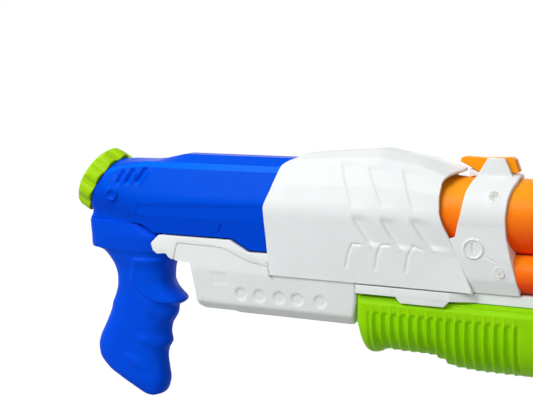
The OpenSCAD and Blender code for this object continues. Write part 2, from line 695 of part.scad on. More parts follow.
module band_half(side) {
    color(shell_white) place() sided(side) difference() {
        union() {
            intersection() {
                slab(band_side, 0, 60);
                difference() {
                    union() {
                        rod_x(band_r, band_x0 - 20, band_x1 + 20);
                        beam(band_cross, band_x0 - 20, band_x1 + 20);
                    }
                    rod_x(barrel_r + fit, band_x0 - 21, band_x1 + 21);
                    rod_x(tube_r + fit, tube_x0 - fit, band_x1 + 21, tube_z, tube_y);
                    translate([0, -60, -100]) cube([400, 60, 200]);
                }
            }
            difference() {
                translate([sight_x, 0, 20])
                    cube([band_x1 - sight_x, sight_half_w + fit + ear_w, pad_z - 20]);
                rod_x(barrel_r + fit, band_x0 - 21, band_x1 + 21);
            }
            difference() {
                slab([[band_x0 - 3.5, 25], [band_x0 - 3.5, pad_z + 2.6], [sight_x - 0.6, pad_z],
                    [sight_x + over, pad_z], [sight_x + over, 25]], 0, sight_half_w);
                rod_x(barrel_r + fit, band_x0 - 21, band_x1 + 21);
            }
            slab([[sight_x, pad_z - 1], [sight_x + 7, pad_z + 11.5], [sight_x + 20, pad_z + 11.5],
                [band_x1, pad_z - 1]], sight_half_w + fit, sight_half_w + fit + ear_w);
        }
        rod_y(2 + run, pin_x, pin_z, -over, 60);
        for (p = band_screws_at) {
            rod_y(screw_r + fit, p[0], p[1], 15, 60);
            rod_y(head_r + fit, p[0], p[1], band_screw_y(p[1]), 60);
        }
    }
}
// Seat of a short band screw's head, from the mid plane
function band_screw_y(z) = z > 0 ? sqrt(band_r * band_r - z * z) - 1.5 : tube_y + tube_r + fit + 0.6;

module band_right() { band_half(-1); }
module band_left() { band_half(1); }

module band_screws() {
    color(shell_white) place() for (s = [-1, 1]) sided(s) for (p = band_screws_at)
        translate([p[0], band_screw_y(p[1]), p[1]]) rotate([-90, 0, 0]) difference() {
            union() {
                translate([0, 0, 0.05]) cylinder(r = head_r, h = 1.4);
                translate([0, 0, -7]) cylinder(r = screw_r, h = 8);
            }
            for (a = [0, 90]) rotate(a) translate([-head_r * 0.6, -0.4, 0.7]) cube([head_r * 1.2, 0.8, 2]);
        }
}

// Sight between the ears of the band
module sight() {
    z = pad_z + fit;
    color(jet_orange) place() difference() {
        slab([[sight_x - 15, z + 6], [sight_x - 14, z + 9.5], [sight_x - 8, z + 11.5],
            [sight_x + 3, z + 11], [sight_x + 24, z + 12], [sight_x + 27, z + 10],
            [band_x1 + 5, z + 0.5], [band_x1 - 0.5, z],
            [sight_x, z], [sight_x - 9, z + 4.5]], -sight_half_w, sight_half_w);
        rod_y(2 + run, pin_x, pin_z, -60, 60);
    }
}

// Cross pin through the ears and the sight
module sight_pin() {
    y = sight_half_w + fit + ear_w - 0.3;
    color(steel) place() rod_y(2, pin_x, pin_z, -y, y);
}

// Main barrel
module barrel_tube() {
    color(jet_orange) place() difference() {
        tube_x(barrel_r, barrel_r - barrel_wall, barrel_x0, barrel_x1);
        for (s = [-1, 1]) sided(s) rod_y(screw_r + run, band_screws_at[0][0], band_screws_at[0][1], 10, 60);
    }
}

// Pair of lower tubes, closed at the rear
module lower_tubes() {
    color(jet_orange) place() for (s = [-1, 1]) sided(s) difference() {
        rod_x(tube_r, tube_x0, barrel_x1, tube_z, tube_y);
        rod_x(tube_r - tube_wall, tube_x0 + 14, barrel_x1 + over, tube_z, tube_y);
        rod_y(screw_r + run, band_screws_at[1][0], band_screws_at[1][1], tube_y + 2, 60);
    }
}

// Plug at the barrel's rear end, with a barb for the hose and a spigot for the feed tube
module barrel_bulkhead() {
    color(clear_grey) place() difference() {
        union() {
            rod_x(barrel_r, barrel_x0 - 3, barrel_x0 - run);
            rod_x(barrel_r - barrel_wall - fit, barrel_x0 - 1, barrel_x0 + 8);
            rod_x(barb_r, barrel_x0 - 3 - barb_len, barrel_x0);
            rod_x(spigot_r - 1, barrel_x0, barrel_x0 + 20);
        }
        rod_x(barb_r - 1.2, barrel_x0 - 40, barrel_x0 + 40);
    }
}

// Rigid tube that carries the water through the barrel
module feed_tube() {
    color(clear_grey) place()
        tube_x(spigot_r + 1, spigot_r - 1 + fit, barrel_x0 + 8 + fit, manifold_x0 - fit);
}

// Joint outline of the muzzle pieces, drawn out from x0 to x1 and grown by g
module muzzle_form(x0, x1, g) {
    rod_x(outline_r + g, x0, x1);
    for (s = [-1, 1]) rod_x(outline_tube_r + g, x0, x1, tube_z, s * tube_y);
    w = tube_y + outline_tube_r + g;
    beam([[-w, tube_z], [w, tube_z], [outline_r + g - 2.5, -12], [-outline_r - g + 2.5, -12]], x0, x1);
    beam([[-tube_y, tube_z - outline_tube_r - g], [tube_y, tube_z - outline_tube_r - g],
        [tube_y, tube_z], [-tube_y, tube_z]], x0, x1);
}

// Water distributor behind the nozzle plate
module nozzle_manifold() {
    color(clear_grey) place() difference() {
        union() {
            muzzle_form(manifold_x0, manifold_x0 + manifold_t, -1);
            rod_x(spigot_r - 1, manifold_x0 - 20, manifold_x0 + 1);
        }
        rod_x(barb_r - 1.2, manifold_x0 - 40, manifold_x0 + 3);
        muzzle_form(manifold_x0 + 2.5, manifold_x0 + 20, -4);
    }
}

// Places of the five nozzles, as y and z
nozzle_at = concat([for (a = [90, 210, 330]) 15 * [cos(a), sin(a)]],
    [[tube_y, tube_z], [-tube_y, tube_z]]);
nozzle_stem_r = nozzle_r - 2;

module nozzle_plate() {
    color(jet_orange) place() difference() {
        muzzle_form(plate_x0, plate_x1, -1);
        for (p = nozzle_at) rod_x(nozzle_stem_r + fit, plate_x0 - over, plate_x1 + over, p[1], p[0]);
    }
}

module nozzle_tips() {
    color(jet_orange) place() for (p = nozzle_at) translate([0, p[0], p[1]]) rotate([0, 90, 0])
        rotate_extrude() polygon([[jet_r, plate_x0], [nozzle_stem_r, plate_x0],
            [nozzle_stem_r, plate_x1 + 0.05], [nozzle_r, plate_x1 + 0.05], [nozzle_r, plate_x1 + 2],
            [nozzle_r - 1.5, plate_x1 + 4],
            [nozzle_r - 2.5, nozzle_x1], [jet_r + 0.6, nozzle_x1], [jet_r, nozzle_x1 - 1.5]]);
}

// White band that ties the barrel, the lower tubes and the rail together at the front
module muzzle_band() {
    color(shell_white) place() difference() {
        union() {
            muzzle_form(muzzle_x0, muzzle_x1, 1.5);
            beam([[-26, deck_z + 0.05], [26, deck_z + 0.05], [29, tube_z], [-29, tube_z]],
                muzzle_x0, muzzle_x1);
        }
        translate([0, -60, deck_z - 20]) cube([500, 120, 20.05]);
        rod_x(barrel_r + fit, muzzle_x0 - over, barrel_x1 + fit);
        for (s = [-1, 1]) rod_x(tube_r + fit, muzzle_x0 - over, barrel_x1 + fit, tube_z, s * tube_y);
        intersection() {
            muzzle_form(barrel_x1, muzzle_x1 + over, -1 + fit);
            translate([barrel_x1, -60, tube_z - outline_tube_r + 0.8]) cube([60, 120, 200]);
        }
    }
}

// Deck and guide rail under the barrel: a channel with outward lips for the pump handle, a skirt
// under the shell and a tab on each side that hangs over the handle's top edge
module lower_rail() {
    under_shell = shell_half_w - 5;
    skirt_z = rail_ledge_z + slide_gap;
    tab_x = pump_x0 + 32;
    tab_len = 43;
    tab_slant = 4.5;
    tab_z = step_z + slide_gap;
    color(shell_white) place() difference() {
        union() {
            beam([[-rail_side_w, deck_z], [rail_side_w, deck_z], [rail_side_w, rail_ledge_z],
                [rail_neck_w, rail_ledge_z], [rail_neck_w, flange_z1], [rail_flange_w, flange_z1],
                [rail_flange_w, flange_z0], [-rail_flange_w, flange_z0], [-rail_flange_w, flange_z1],
                [-rail_neck_w, flange_z1], [-rail_neck_w, rail_ledge_z], [-rail_side_w, rail_ledge_z]],
                rail_x0, rail_x1);
            beam([[-under_shell, deck_z], [under_shell, deck_z], [under_shell, deck_z - 2.5],
                [-under_shell, deck_z - 2.5]], rail_x0, shell_len + 3);
            for (s = [-1, 1]) sided(s) {
                beam([[under_shell - rail_wall, deck_z - 1], [under_shell, deck_z - 1],
                    [under_shell, skirt_z], [under_shell - rail_wall, skirt_z]], rail_x0, shell_len + 3);
                intersection() {
                    beam([[rail_side_w - 1, deck_z - 1], [under_shell, deck_z - 1],
                        [under_shell, tab_z], [shelf_w + slide_gap, tab_z],
                        [shelf_w + slide_gap, shelf_z + slide_gap], [rail_side_w - 1, skirt_z]],
                        tab_x, tab_x + tab_len);
                    slab([[tab_x, deck_z], [tab_x, skirt_z], [tab_x + tab_slant, tab_z],
                        [tab_x + tab_len - tab_slant, tab_z], [tab_x + tab_len, skirt_z],
                        [tab_x + tab_len, deck_z]], 0, 60);
                }
            }
        }
        difference() {
            beam([[-rail_neck_w + rail_wall, deck_z - 2.5], [rail_neck_w - rail_wall, deck_z - 2.5],
                [rail_neck_w - rail_wall, flange_z0 - over], [-rail_neck_w + rail_wall, flange_z0 - over]],
                rail_x0 - over, rail_x1 + over);
            translate([cyl_x1 - 8, -30, deck_z - 30]) cube([5, 60, 40]);
        }
        rod_x(cyl_r + 0.25, rail_x0 - over, cyl_x1 + 20, pump_z);
    }
}

// Pump cylinder
module pump_cylinder() { color(clear_grey) place() tube_x(cyl_r, cyl_bore_r, cyl_x0, cyl_x1, pump_z); }

// Flat rubber ring between the cylinder and the valve block
module cylinder_gasket() {
    color(seal_black) place() tube_x(cyl_r - fit, cyl_bore_r, socket_x + 0.1, cyl_x0 - 0.1, pump_z);
}

// Guide for the piston rod in the cylinder's front end
module rod_guide() {
    color(shell_white) place() difference() {
        union() {
            rod_x(cyl_r, cyl_x1 + run, gland_x1, pump_z);
            rod_x(cyl_bore_r - run, cyl_x1 - gland_spigot, cyl_x1 + 1, pump_z);
        }
        rod_x(rod_r + run, cyl_x1 - 20, gland_x1 + 20, pump_z);
    }
}

// Block at the cylinder's rear end that holds both check valves
module valve_block() {
    color(clear_grey) place() difference() {
        translate([block_x0, -block_half_w, block_z0])
            cube([block_x1 - block_x0, 2 * block_half_w, block_z1 - block_z0]);
        rod_x(cyl_r + 0.1, socket_x, block_x1 + over, pump_z);
        rod_x(3.5, inlet_x, socket_x + over, pump_z);
        post(spigot_r + 0.15, inlet_x, inlet_seat_z + 2, block_z1 + over);
        post(port_r, inlet_x, inlet_seat_z - over, block_z1);
        post(chamber_r, inlet_x, inlet_floor_z, inlet_seat_z);
        post(port_r, outlet_x, pump_z, outlet_seat_z + over);
        post(chamber_r, outlet_x, outlet_seat_z, block_z1 + over);
    }
}

// Rubber disc with a short stem, lying on its seat with the stem pointing down the z axis
module poppet() {
    rotate_extrude() polygon([[0, -run], [valve_r, -run], [valve_r, -disc_t], [stem_r, -disc_t],
        [stem_r, -disc_t - stem_len], [0, -disc_t - stem_len]]);
}

module inlet_valve() { color(seal_black) place() translate([inlet_x, 0, inlet_seat_z]) poppet(); }

module outlet_valve() {
    color(seal_black) place() translate([outlet_x, 0, outlet_seat_z]) mirror([0, 0, 1]) poppet();
}

// Coil spring standing at x from z0 to z1
module spring(x, z0, z1, turns) {
    steps = turns * 10;
    low = z0 + wire_r + 0.05;
    rise = z1 - z0 - 2 * wire_r - 0.1;
    loft([for (i = [0:steps]) let (a = 36 * i, u = [cos(a), sin(a), 0],
            c = [x, 0, low + rise * i / steps] + spring_r * u)
        [for (k = [0:5]) c + wire_r * (cos(60 * k) * u + sin(60 * k) * [0, 0, 1])]]);
}

module inlet_spring() {
    color(steel) place() spring(inlet_x, inlet_floor_z, inlet_seat_z - disc_t, 5);
}

module outlet_spring() {
    color(steel) place() spring(outlet_x, outlet_seat_z + disc_t, block_z1 - plug_t, 3);
}

// Barbed plug over the outlet valve
module outlet_fitting() {
    color(clear_grey) place() difference() {
        union() {
            post(chamber_r - run, outlet_x, block_z1 - plug_t, block_z1 + 1);
            post(chamber_r + 3, outlet_x, block_z1 + run, block_z1 + 2);
            post(barb_r, outlet_x, block_z1, block_z1 + 2 + barb_len);
        }
        post(barb_r - 1.2, outlet_x, block_z1 - 20, block_z1 + 40);
    }
}

// Delivery hose: up from the valve block, round one bend and forward to the barrel
module hose_path(r) {
    union() {
        post(r, outlet_x, hose_z0, -hose_bend);
        translate([outlet_x + hose_bend, 0, -hose_bend]) rotate([90, 0, 0]) rotate([0, 0, 90])
            rotate_extrude(angle = 90) translate([hose_bend, 0]) circle(r = r);
        rod_x(r, outlet_x + hose_bend, hose_x1);
    }
}

module delivery_hose() {
    color(clear_grey) place() difference() {
        hose_path(hose_r);
        union() {
            hose_path(hose_bore_r);
            post(hose_bore_r, outlet_x, hose_z0 - over, hose_z0 + over);
            rod_x(hose_bore_r, hose_x1 - over, hose_x1 + over);
        }
    }
}

// Ring clips that hold the hose on its two barbs
module hose_clips() {
    color(steel) place() {
        difference() {
            post(hose_r + 1.2, outlet_x, hose_z0 + 3, hose_z0 + 8);
            post(hose_r + 0.1, outlet_x, hose_z0, hose_z0 + 12);
        }
        tube_x(hose_r + 1.2, hose_r + 0.1, hose_x1 - 8, hose_x1 - 3);
    }
}

// Piston rod with a stud at each end
module piston_rod() {
    color(clear_grey) place() union() {
        rod_x(rod_r, piston_x1 + run, web_x0 - run, pump_z);
        rod_x(stud_r, piston_x0 + 2, piston_x1 + 1, pump_z);
        rod_x(stud_r, web_x0 - 1, web_x0 + web_t + nut_t + 1.5, pump_z);
    }
}

ring_r = 1;
ring_c = cyl_bore_r - run - ring_r;
ring_x = [piston_x0 + 3.2, piston_x1 - 3.2];

// Piston with two ring grooves
module piston() {
    groove = ring_r + 0.2;
    color(shell_white) place() difference() {
        rod_x(cyl_bore_r - 0.35, piston_x0, piston_x1, pump_z);
        rod_x(stud_r + run, piston_x0 + 2 - run, piston_x1 + over, pump_z);
        for (x = ring_x) tube_x(cyl_bore_r + 1, ring_c - ring_r - run, x - groove, x + groove, pump_z);
    }
}

// Rubber rings of the piston
module piston_rings() {
    color(seal_black) place() for (x = ring_x) translate([x, 0, pump_z]) rotate([0, 90, 0])
        rotate_extrude() translate([ring_c, 0]) circle(r = ring_r);
}

// Nut that holds the rod in the handle's web
module rod_nut() {
    color(steel) place() translate([web_x0 + web_t + 0.1, 0, pump_z]) rotate([0, 90, 0]) difference() {
        cylinder(r = nut_r, h = nut_t, $fn = 6);
        translate([0, 0, -over]) cylinder(r = stud_r + run, h = nut_t + 2 * over);
    }
}

// Narrow neck of the handle under the rail, the shelf beside it and the step that the tabs pass over
neck_w = rail_side_w + 0.2;
shelf_w = neck_w + 2.6;
shelf_z = lip_z1 - 1.4;
step_z = lip_z1 - 4.2;
// Half section of the pump handle at a distance d from its rear end, grown by a rib height
function pump_ring(d, rib) = let (f = lookup(d, pinch), w = pump_half_w * f,
    low = lip_z1 - lookup(d, belly) * pump_depth / 61 - rib, mid = lip_z1 - 19)
    at_x(pump_x0 + d, concat([[0, lip_z1], [neck_w, lip_z1], [neck_w, shelf_z],
        [min(shelf_w, w - 0.4), shelf_z], [min(shelf_w, w - 0.4), step_z], [w, step_z - 2],
        [w, lip_z1 - 9], [w + rib, lip_z1 - 11]],
        [for (a = [0:15:75]) [(w + rib) * pow(cos(a), 0.9), mid + (low - mid) * pow(sin(a), 0.9)]],
        [[0, low]]));
function pump_hollow(d) = let (w = pump_half_w * lookup(d, pinch) - pump_wall,
    low = lip_z1 - lookup(d, belly) * pump_depth / 61 + pump_wall, mid = lip_z1 - 19)
    at_x(pump_x0 + d, concat([[-over, lip_z0], [neck_w - pump_wall, lip_z0],
        [neck_w - pump_wall, step_z - pump_wall], [w - 1, step_z - pump_wall],
        [w, step_z - pump_wall - 1]],
        [for (a = [0:15:75]) [w * pow(cos(a), 0.9), mid + (low - mid) * pow(sin(a), 0.9)]],
        [[-over, low]]));
rib_x0 = 13;
rib_stations = [for (i = [0:rib_count - 1]) for (k = [[-2.7, 0], [-1.9, 1], [1.9, 1], [2.7, 0]])
    [rib_x0 + i * rib_pitch + k[0], k[1] * rib_h]];

// Half of the pump handle, hooked over the rail's lips
module pump_half(side) {
    outer = concat([for (d = [-over, 2, 5, 8]) pump_ring(d, 0)],
        [for (s = rib_stations) pump_ring(s[0], s[1])],
        [for (d = [pump_len - 24, pump_len - 2, pump_len + over]) pump_ring(d, 0)]);
    inner = [for (d = [over, 9, 15, 20, 56, 66, 75, 83, pump_len - 24, pump_len]) pump_hollow(d)];
    slot_w = rail_neck_w + slide_gap;
    pass_w = rail_flange_w + slide_gap;
    color(lime) place() sided(side) difference() {
        union() {
            difference() {
                intersection() { loft(outer); span(pump_x0, pump_x1); }
                intersection() { loft(inner); span(pump_x0 + pump_wall + 1, pump_x1 - pump_wall); }
            }
            intersection() {
                loft(outer);
                union() {
                    bosses(pump_screws_at);
                    translate([web_x0, 0, deck_z - 100]) cube([web_t, 60, 100]);
                }
            }
        }
        boss_holes(pump_screws_at, side);
        beam([[-over, lip_z1 + over], [slot_w, lip_z1 + over], [slot_w, lip_z0], [pass_w, lip_z0],
            [pass_w, flange_z0 - slide_gap], [-over, flange_z0 - slide_gap]],
            pump_x0 - over, pump_x1 + over);
        rod_x(cyl_r + 0.6, pump_x0 - over, pump_x0 + 9, pump_z);
        rod_x(stud_r + run, web_x0 - over, web_x0 + web_t + over, pump_z);
    }
}

module pump_right() { pump_half(-1); }
module pump_left() { pump_half(1); }
module pump_screws() { color(steel) place() screws(pump_screws_at); }

tank_right();
tank_left();
filler_neck();
cap_seal();
tank_cap();
cap_vent();
tank_outlet();
outlet_sleeve();
grip_right();
grip_left();
grip_screws();
frame_right();
frame_left();
frame_screws();
shell_right();
shell_left();
shell_screws();
band_right();
band_left();
band_screws();
sight();
sight_pin();
barrel_tube();
lower_tubes();
barrel_bulkhead();
feed_tube();
nozzle_manifold();
nozzle_plate();
nozzle_tips();
muzzle_band();
lower_rail();
pump_cylinder();
cylinder_gasket();
rod_guide();
valve_block();
inlet_valve();
inlet_spring();
outlet_valve();
outlet_spring();
outlet_fitting();
delivery_hose();
hose_clips();
piston_rod();
piston();
piston_rings();
rod_nut();
pump_right();
pump_left();
pump_screws();
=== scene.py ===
"""Looks of a large pump-action water squirter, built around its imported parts."""
import logging
import math
from dataclasses import dataclass, field, replace
from enum import Enum
from typing import Sequence

import bmesh
import bpy
import numpy as np
from mathutils import Matrix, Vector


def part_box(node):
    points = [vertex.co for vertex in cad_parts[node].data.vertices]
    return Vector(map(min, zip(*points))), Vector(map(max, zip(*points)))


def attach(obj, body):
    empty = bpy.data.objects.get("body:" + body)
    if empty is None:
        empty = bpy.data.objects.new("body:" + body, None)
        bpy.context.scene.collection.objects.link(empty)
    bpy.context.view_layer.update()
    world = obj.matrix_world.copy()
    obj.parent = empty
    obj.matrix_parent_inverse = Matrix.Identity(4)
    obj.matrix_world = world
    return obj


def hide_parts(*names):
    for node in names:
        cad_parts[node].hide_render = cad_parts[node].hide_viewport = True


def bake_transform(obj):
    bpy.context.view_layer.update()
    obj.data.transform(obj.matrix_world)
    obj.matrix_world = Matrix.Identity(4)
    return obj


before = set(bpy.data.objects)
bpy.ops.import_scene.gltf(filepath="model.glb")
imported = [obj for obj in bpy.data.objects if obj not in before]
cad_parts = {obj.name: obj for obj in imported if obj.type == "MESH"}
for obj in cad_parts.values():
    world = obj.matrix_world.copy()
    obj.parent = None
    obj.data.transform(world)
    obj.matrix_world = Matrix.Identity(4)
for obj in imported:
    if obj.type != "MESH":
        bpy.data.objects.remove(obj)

Array = np.ndarray
log = logging.getLogger("squirter")
MM = 0.001
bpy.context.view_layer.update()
# Keeps a division from meeting zero.
TINY = 1e-9
# Points of a piece that lie nearer than this, in metres, become one.
WELD = 2e-6
# An edge that turns by more degrees than this stays crisp.
CRISP = 32.0
# Largest share of a run that one fillet takes up.
FILLET_SHARE = 0.46
# Longest step round the outline of a plate.
PLATE_STEP = 1.5
# Distances from a border at which a grid gets extra lines.
EDGE_NEAR = (0.1, 0.25, 0.45, 0.7)
# Edge radius of two halves along the line where they meet.
PARTING = 0.35
# Radius of the hole over a screw's head.
SCREW_BORE = 3.4
# Points round a screw's boss.
BOSS_POINTS = 36
# Distance added to points that are not to be found as the nearest.
FAR_OFF = 50.0
# The two coordinates that the side view shows.
SIDE_VIEW = [0, 2]


class Side(Enum):
    """The two halves of a moulding, as the sign of y."""

    RIGHT = -1
    LEFT = 1


class Body(Enum):
    """The bodies of the part that new pieces ride on."""

    HOUSING = "housing"
    PUMP = "pump"
    CAP = "cap"
    INLET = "inlet_flap"
    OUTLET = "outlet_flap"


class Border(Enum):
    """Which borders of a grid turn over: the first, the last or both."""

    FIRST = (True, False)
    LAST = (False, True)
    BOTH = (True, True)


class View(Enum):
    """The view a plate's outline is drawn in: which coordinates its two numbers and the thickness fill."""

    SIDE = (0, 2, 1)
    PLAN = (0, 1, 2)
    END = (1, 2, 0)


@dataclass(frozen=True)
class Place:
    """Where the drawing frame stands in the part's frame.

    In the drawing frame x = 0 is the shell's rear edge and z = 0 the barrel's axis.
    """

    x: float
    z: float

    @classmethod
    def read(cls) -> "Place":
        """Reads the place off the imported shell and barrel."""
        low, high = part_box("barrel_tube")
        return cls(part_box("shell_right")[0].x / MM, (low.z + high.z) / 2 / MM)

    def metres(self, points: Array) -> Array:
        """Points of the drawing frame in millimetres, as points of the part in metres."""
        return (points + np.array([self.x, 0.0, self.z])) * MM


PLACE = Place.read()


def ease(t: Array) -> Array:
    """A smooth step from 0 to 1: three t squared less two t cubed."""
    t = np.clip(t, 0.0, 1.0)
    return t * t * (3.0 - 2.0 * t)


def soft_table(at: Array, knots: Sequence[float], values: Sequence[float], soft: float) -> Array:
    """Straight lines through a table, averaged over a short window so that its corners turn smoothly.

    Args:
        at: places to read.
        knots: places of the table, rising.
        values: values of the table.
        soft: half the width of the window.

    Returns:
        The values at those places.
    """
    window = np.linspace(-soft, soft, 9)
    return np.interp(np.asarray(at)[..., None] + window, knots, values).mean(-1)


def smooth_table(at: Array, knots: Sequence[float], values: Sequence[float]) -> Array:
    """Cubic curve through a table that never overshoots.

    The slope at a knot is the harmonic mean of its two runs, or level where one rises and the other falls.

    Args:
        at: places to read.
        knots: places of the table, rising.
        values: values of the table.

    Returns:
        The values at those places.
    """
    x, y = np.asarray(knots, float), np.asarray(values, float)
    gap = np.diff(x)
    run = np.diff(y) / gap
    alike = run[:-1] * run[1:] > 0
    slope = np.concatenate([run[:1], np.zeros(len(x) - 2), run[-1:]])
    slope[1:-1][alike] = (2 * run[:-1] * run[1:])[alike] / (run[:-1] + run[1:])[alike]
    k = np.clip(np.searchsorted(x, at, side="right") - 1, 0, len(gap) - 1)
    t = np.clip((at - x[k]) / gap[k], 0.0, 1.0)
    bend = ease(t)
    start, end = t * (1 - t) ** 2, t * t * (t - 1)
    return y[k] + (y[k + 1] - y[k]) * bend + gap[k] * (slope[k] * start + slope[k + 1] * end)


def rounded_chain(corners: Array, radii: Sequence[float], step: float, arc: int = 6) -> Array:
    """Points along open chains whose corners are turned by short curves.

    Each run is cut into equal steps. A corner is a quadratic curve between the tangent points of its fillet,
    which lie the radius times the tangent of half the turn before and after it.

    Args:
        corners: corner points, shape (..., corners, 2), for any number of stations at once.
        radii: fillet radius of each inner corner.
        step: longest step along a run.
        arc: points inside each corner.

    Returns:
        Points, shape (..., points, 2), with one count for all stations.
    """
    run = np.diff(corners, axis=-2)
    length = np.linalg.norm(run, axis=-1)
    way = run / np.maximum(length, TINY)[..., None]
    turn = np.arccos(np.clip((way[..., :-1, :] * way[..., 1:, :]).sum(-1), -1.0, 1.0))
    room = FILLET_SHARE * np.minimum(length[..., :-1], length[..., 1:])
    cut = np.zeros(corners.shape[:-1])
    cut[..., 1:-1] = np.minimum(np.asarray(radii) * np.tan(turn / 2), room)
    runs = corners.shape[-2] - 1
    counts = np.maximum(1, np.ceil(length.reshape(-1, runs).max(0) / step)).astype(int)
    parts = []
    for k in range(runs):
        start = corners[..., k, :] + way[..., k, :] * cut[..., k, None]
        stop = corners[..., k + 1, :] - way[..., k, :] * cut[..., k + 1, None]
        t = np.linspace(0.0, 1.0, counts[k] + 1)[:, None]
        parts.append(start[..., None, :] + (stop - start)[..., None, :] * t)
        if k < runs - 1:
            tip = corners[..., k + 1, :]
            leave = tip + way[..., k + 1, :] * cut[..., k + 1, None]
            t = np.linspace(0.0, 1.0, arc + 2)[1:-1, None]
            parts.append((1 - t) ** 2 * stop[..., None, :] + 2 * t * (1 - t) * tip[..., None, :]
                         + t * t * leave[..., None, :])
    return np.concatenate(parts, axis=-2)


def rounded_loop(corners: Sequence[Sequence[float]], radius: float | Sequence[float], step: float) -> Array:
    """Points round a closed outline whose corners are turned by short curves.

    The outline is opened in the middle of its last run, treated as a chain, and closed again.

    Args:
        corners: corner points of the outline.
        radius: fillet radius of every corner, or one for each.
        step: longest step along a run.

    Returns:
        Points, shape (points, 2), the last not repeating the first.
    """
    c = np.asarray(corners, float)
    gate = (c[-1] + c[0]) / 2
    chain = np.concatenate([[gate], c, [gate]])
    return rounded_chain(chain, np.broadcast_to(radius, len(c)), step)[:-1]


def corner_table(*corners: tuple[Array | float, Array | float]) -> Array:
    """Corner points of many stations at once.

    Args:
        corners: two coordinates of each corner, either of them one number or one for every station.

    Returns:
        Points, shape (stations, corners, 2).
    """
    flat = np.stack(np.broadcast_arrays(*[value for corner in corners for value in corner]), -1)
    return flat.reshape(len(flat), len(corners), 2)


def along_x(x: Array, section: Array) -> Array:
    """Sections of y and z, put at their stations x: points of shape (stations, points, 3)."""
    return np.concatenate([np.broadcast_to(x[:, None, None], section.shape[:2] + (1,)), section], -1)


def travelled(line: Array) -> Array:
    """Length of the way along a line of points, or several side by side, from the start to each point."""
    step = np.linalg.norm(np.diff(line, axis=0), axis=-1)
    return np.concatenate([np.zeros_like(step[:1]), step.cumsum(0)])


def outward_normals(grid: Array, row: int) -> Array:
    """Unit normals of a half moulding: the cross product of the slopes along the grid's two parameters.

    Args:
        grid: points, shape (rows, columns, 3).
        row: the row whose normals are to point away from the mid plane.

    Returns:
        Normals, in the grid's order.
    """
    normal = np.cross(np.gradient(grid, axis=0), np.gradient(grid, axis=1))
    normal = normal / np.maximum(np.linalg.norm(normal, axis=-1, keepdims=True), 1e-12)
    return -normal if normal[row, :, 1].sum() < 0 else normal


def add_edge_lines(grid: Array, axis: int) -> Array:
    """Extra lines close to two opposite borders of a grid, so that an edge can turn over there.

    Args:
        grid: points, shape (rows, columns, 3).
        axis: 0 for the first and last rows, 1 for the first and last columns.

    Returns:
        The grid with the lines put in.
    """
    g = np.moveaxis(grid, axis, 0)
    near = np.asarray(EDGE_NEAR)
    share = np.arange(1, len(near) + 1) / (len(near) + 1)

    def lines(border: Array, inner: Array) -> Array:
        """Lines between a border and the grid's next line.

        Args:
            border: points of the border.
            inner: points of the next line.

        Returns:
            Points, shape (lines, points, 3).
        """
        gap = np.maximum(np.linalg.norm(inner - border, axis=-1), TINY)
        part = np.minimum(near[:, None] / gap, share[:, None])
        return border + (inner - border) * part[..., None]

    head, tail = lines(g[0], g[1]), lines(g[-1], g[-2])[::-1]
    return np.moveaxis(np.concatenate([g[:1], head, g[1:-1], tail, g[-1:]]), 0, axis)


def edge_drop(grid: Array, axis: int, border: Border, radius: float) -> Array:
    """How far a surface falls in at its borders when its edge is a quarter circle of a radius.

    Args:
        grid: points, shape (rows, columns, 3).
        axis: 0 for the first and last rows, 1 for the first and last columns.
        border: which of the two turn over.
        radius: radius of the edge.

    Returns:
        The fall at each point, shape (rows, columns).
    """
    way = travelled(np.moveaxis(grid, axis, 0))
    first, last = border.value
    far = np.full_like(way, np.inf)
    if first:
        far = np.minimum(far, way)
    if last:
        far = np.minimum(far, way[-1] - way)
    u = np.clip(1 - far / radius, 0.0, 1.0)
    return np.moveaxis(radius * (1 - np.sqrt(1 - u * u)), 0, axis)


def skins(grid: Array, normal: Array, lift: Array, wall: float) -> tuple[Array, Array]:
    """Outer and inner skin of a half moulding, both held on their side of the mid plane.

    The outer skin is the grid plus the lift along its normals. The inner one lies a wall below the grid.

    Args:
        grid: points of the plain surface, shape (rows, columns, 3).
        normal: its unit normals.
        lift: height of its details at each point.
        wall: thickness of the wall.

    Returns:
        The two skins, in the grid's order.
    """
    outer, inner = grid + normal * lift[..., None], grid - normal * wall
    for skin in (outer, inner):
        skin[..., 1] = np.maximum(skin[..., 1], 0)
    return outer, inner


def line_distance(x: Array, z: Array, line: Array) -> Array:
    """Distance of each point from a chain of straight runs: the least of its distances from the runs.

    Args:
        x: places of the points in the side view.
        z: their heights.
        line: points of the chain, shape (points, 2).

    Returns:
        The distances, in the points' shape.
    """
    p = np.stack([x, z], -1)[..., None, :]
    a, run = line[:-1], np.diff(line, axis=0)
    t = np.clip(((p - a) * run).sum(-1) / (run * run).sum(-1), 0.0, 1.0)
    return np.linalg.norm(p - a - t[..., None] * run, axis=-1).min(-1)


def inside(x: Array, z: Array, outline: Array) -> Array:
    """Whether each point lies in an outline: a ray towards +x crosses the outline an odd number of times.

    Args:
        x: places of the points in the side view.
        z: their heights.
        outline: corners of the outline, shape (corners, 2).

    Returns:
        True or false for each point.
    """
    a, b = outline, np.roll(outline, -1, axis=0)
    px, pz = x[..., None], z[..., None]
    spans = (a[:, 1] > pz) != (b[:, 1] > pz)
    rise = np.where(np.abs(b[:, 1] - a[:, 1]) < TINY, TINY, b[:, 1] - a[:, 1])
    cross = a[:, 0] + (pz - a[:, 1]) / rise * (b[:, 0] - a[:, 0])
    return (spans & (px < cross)).sum(-1) % 2 == 1


class Relief:
    """A raised or sunken detail of a moulding's side, as a height over the side view."""

    def height(self, x: Array, z: Array) -> Array:
        """Height over the plain surface at places x and z of the side view, in millimetres."""
        raise NotImplementedError


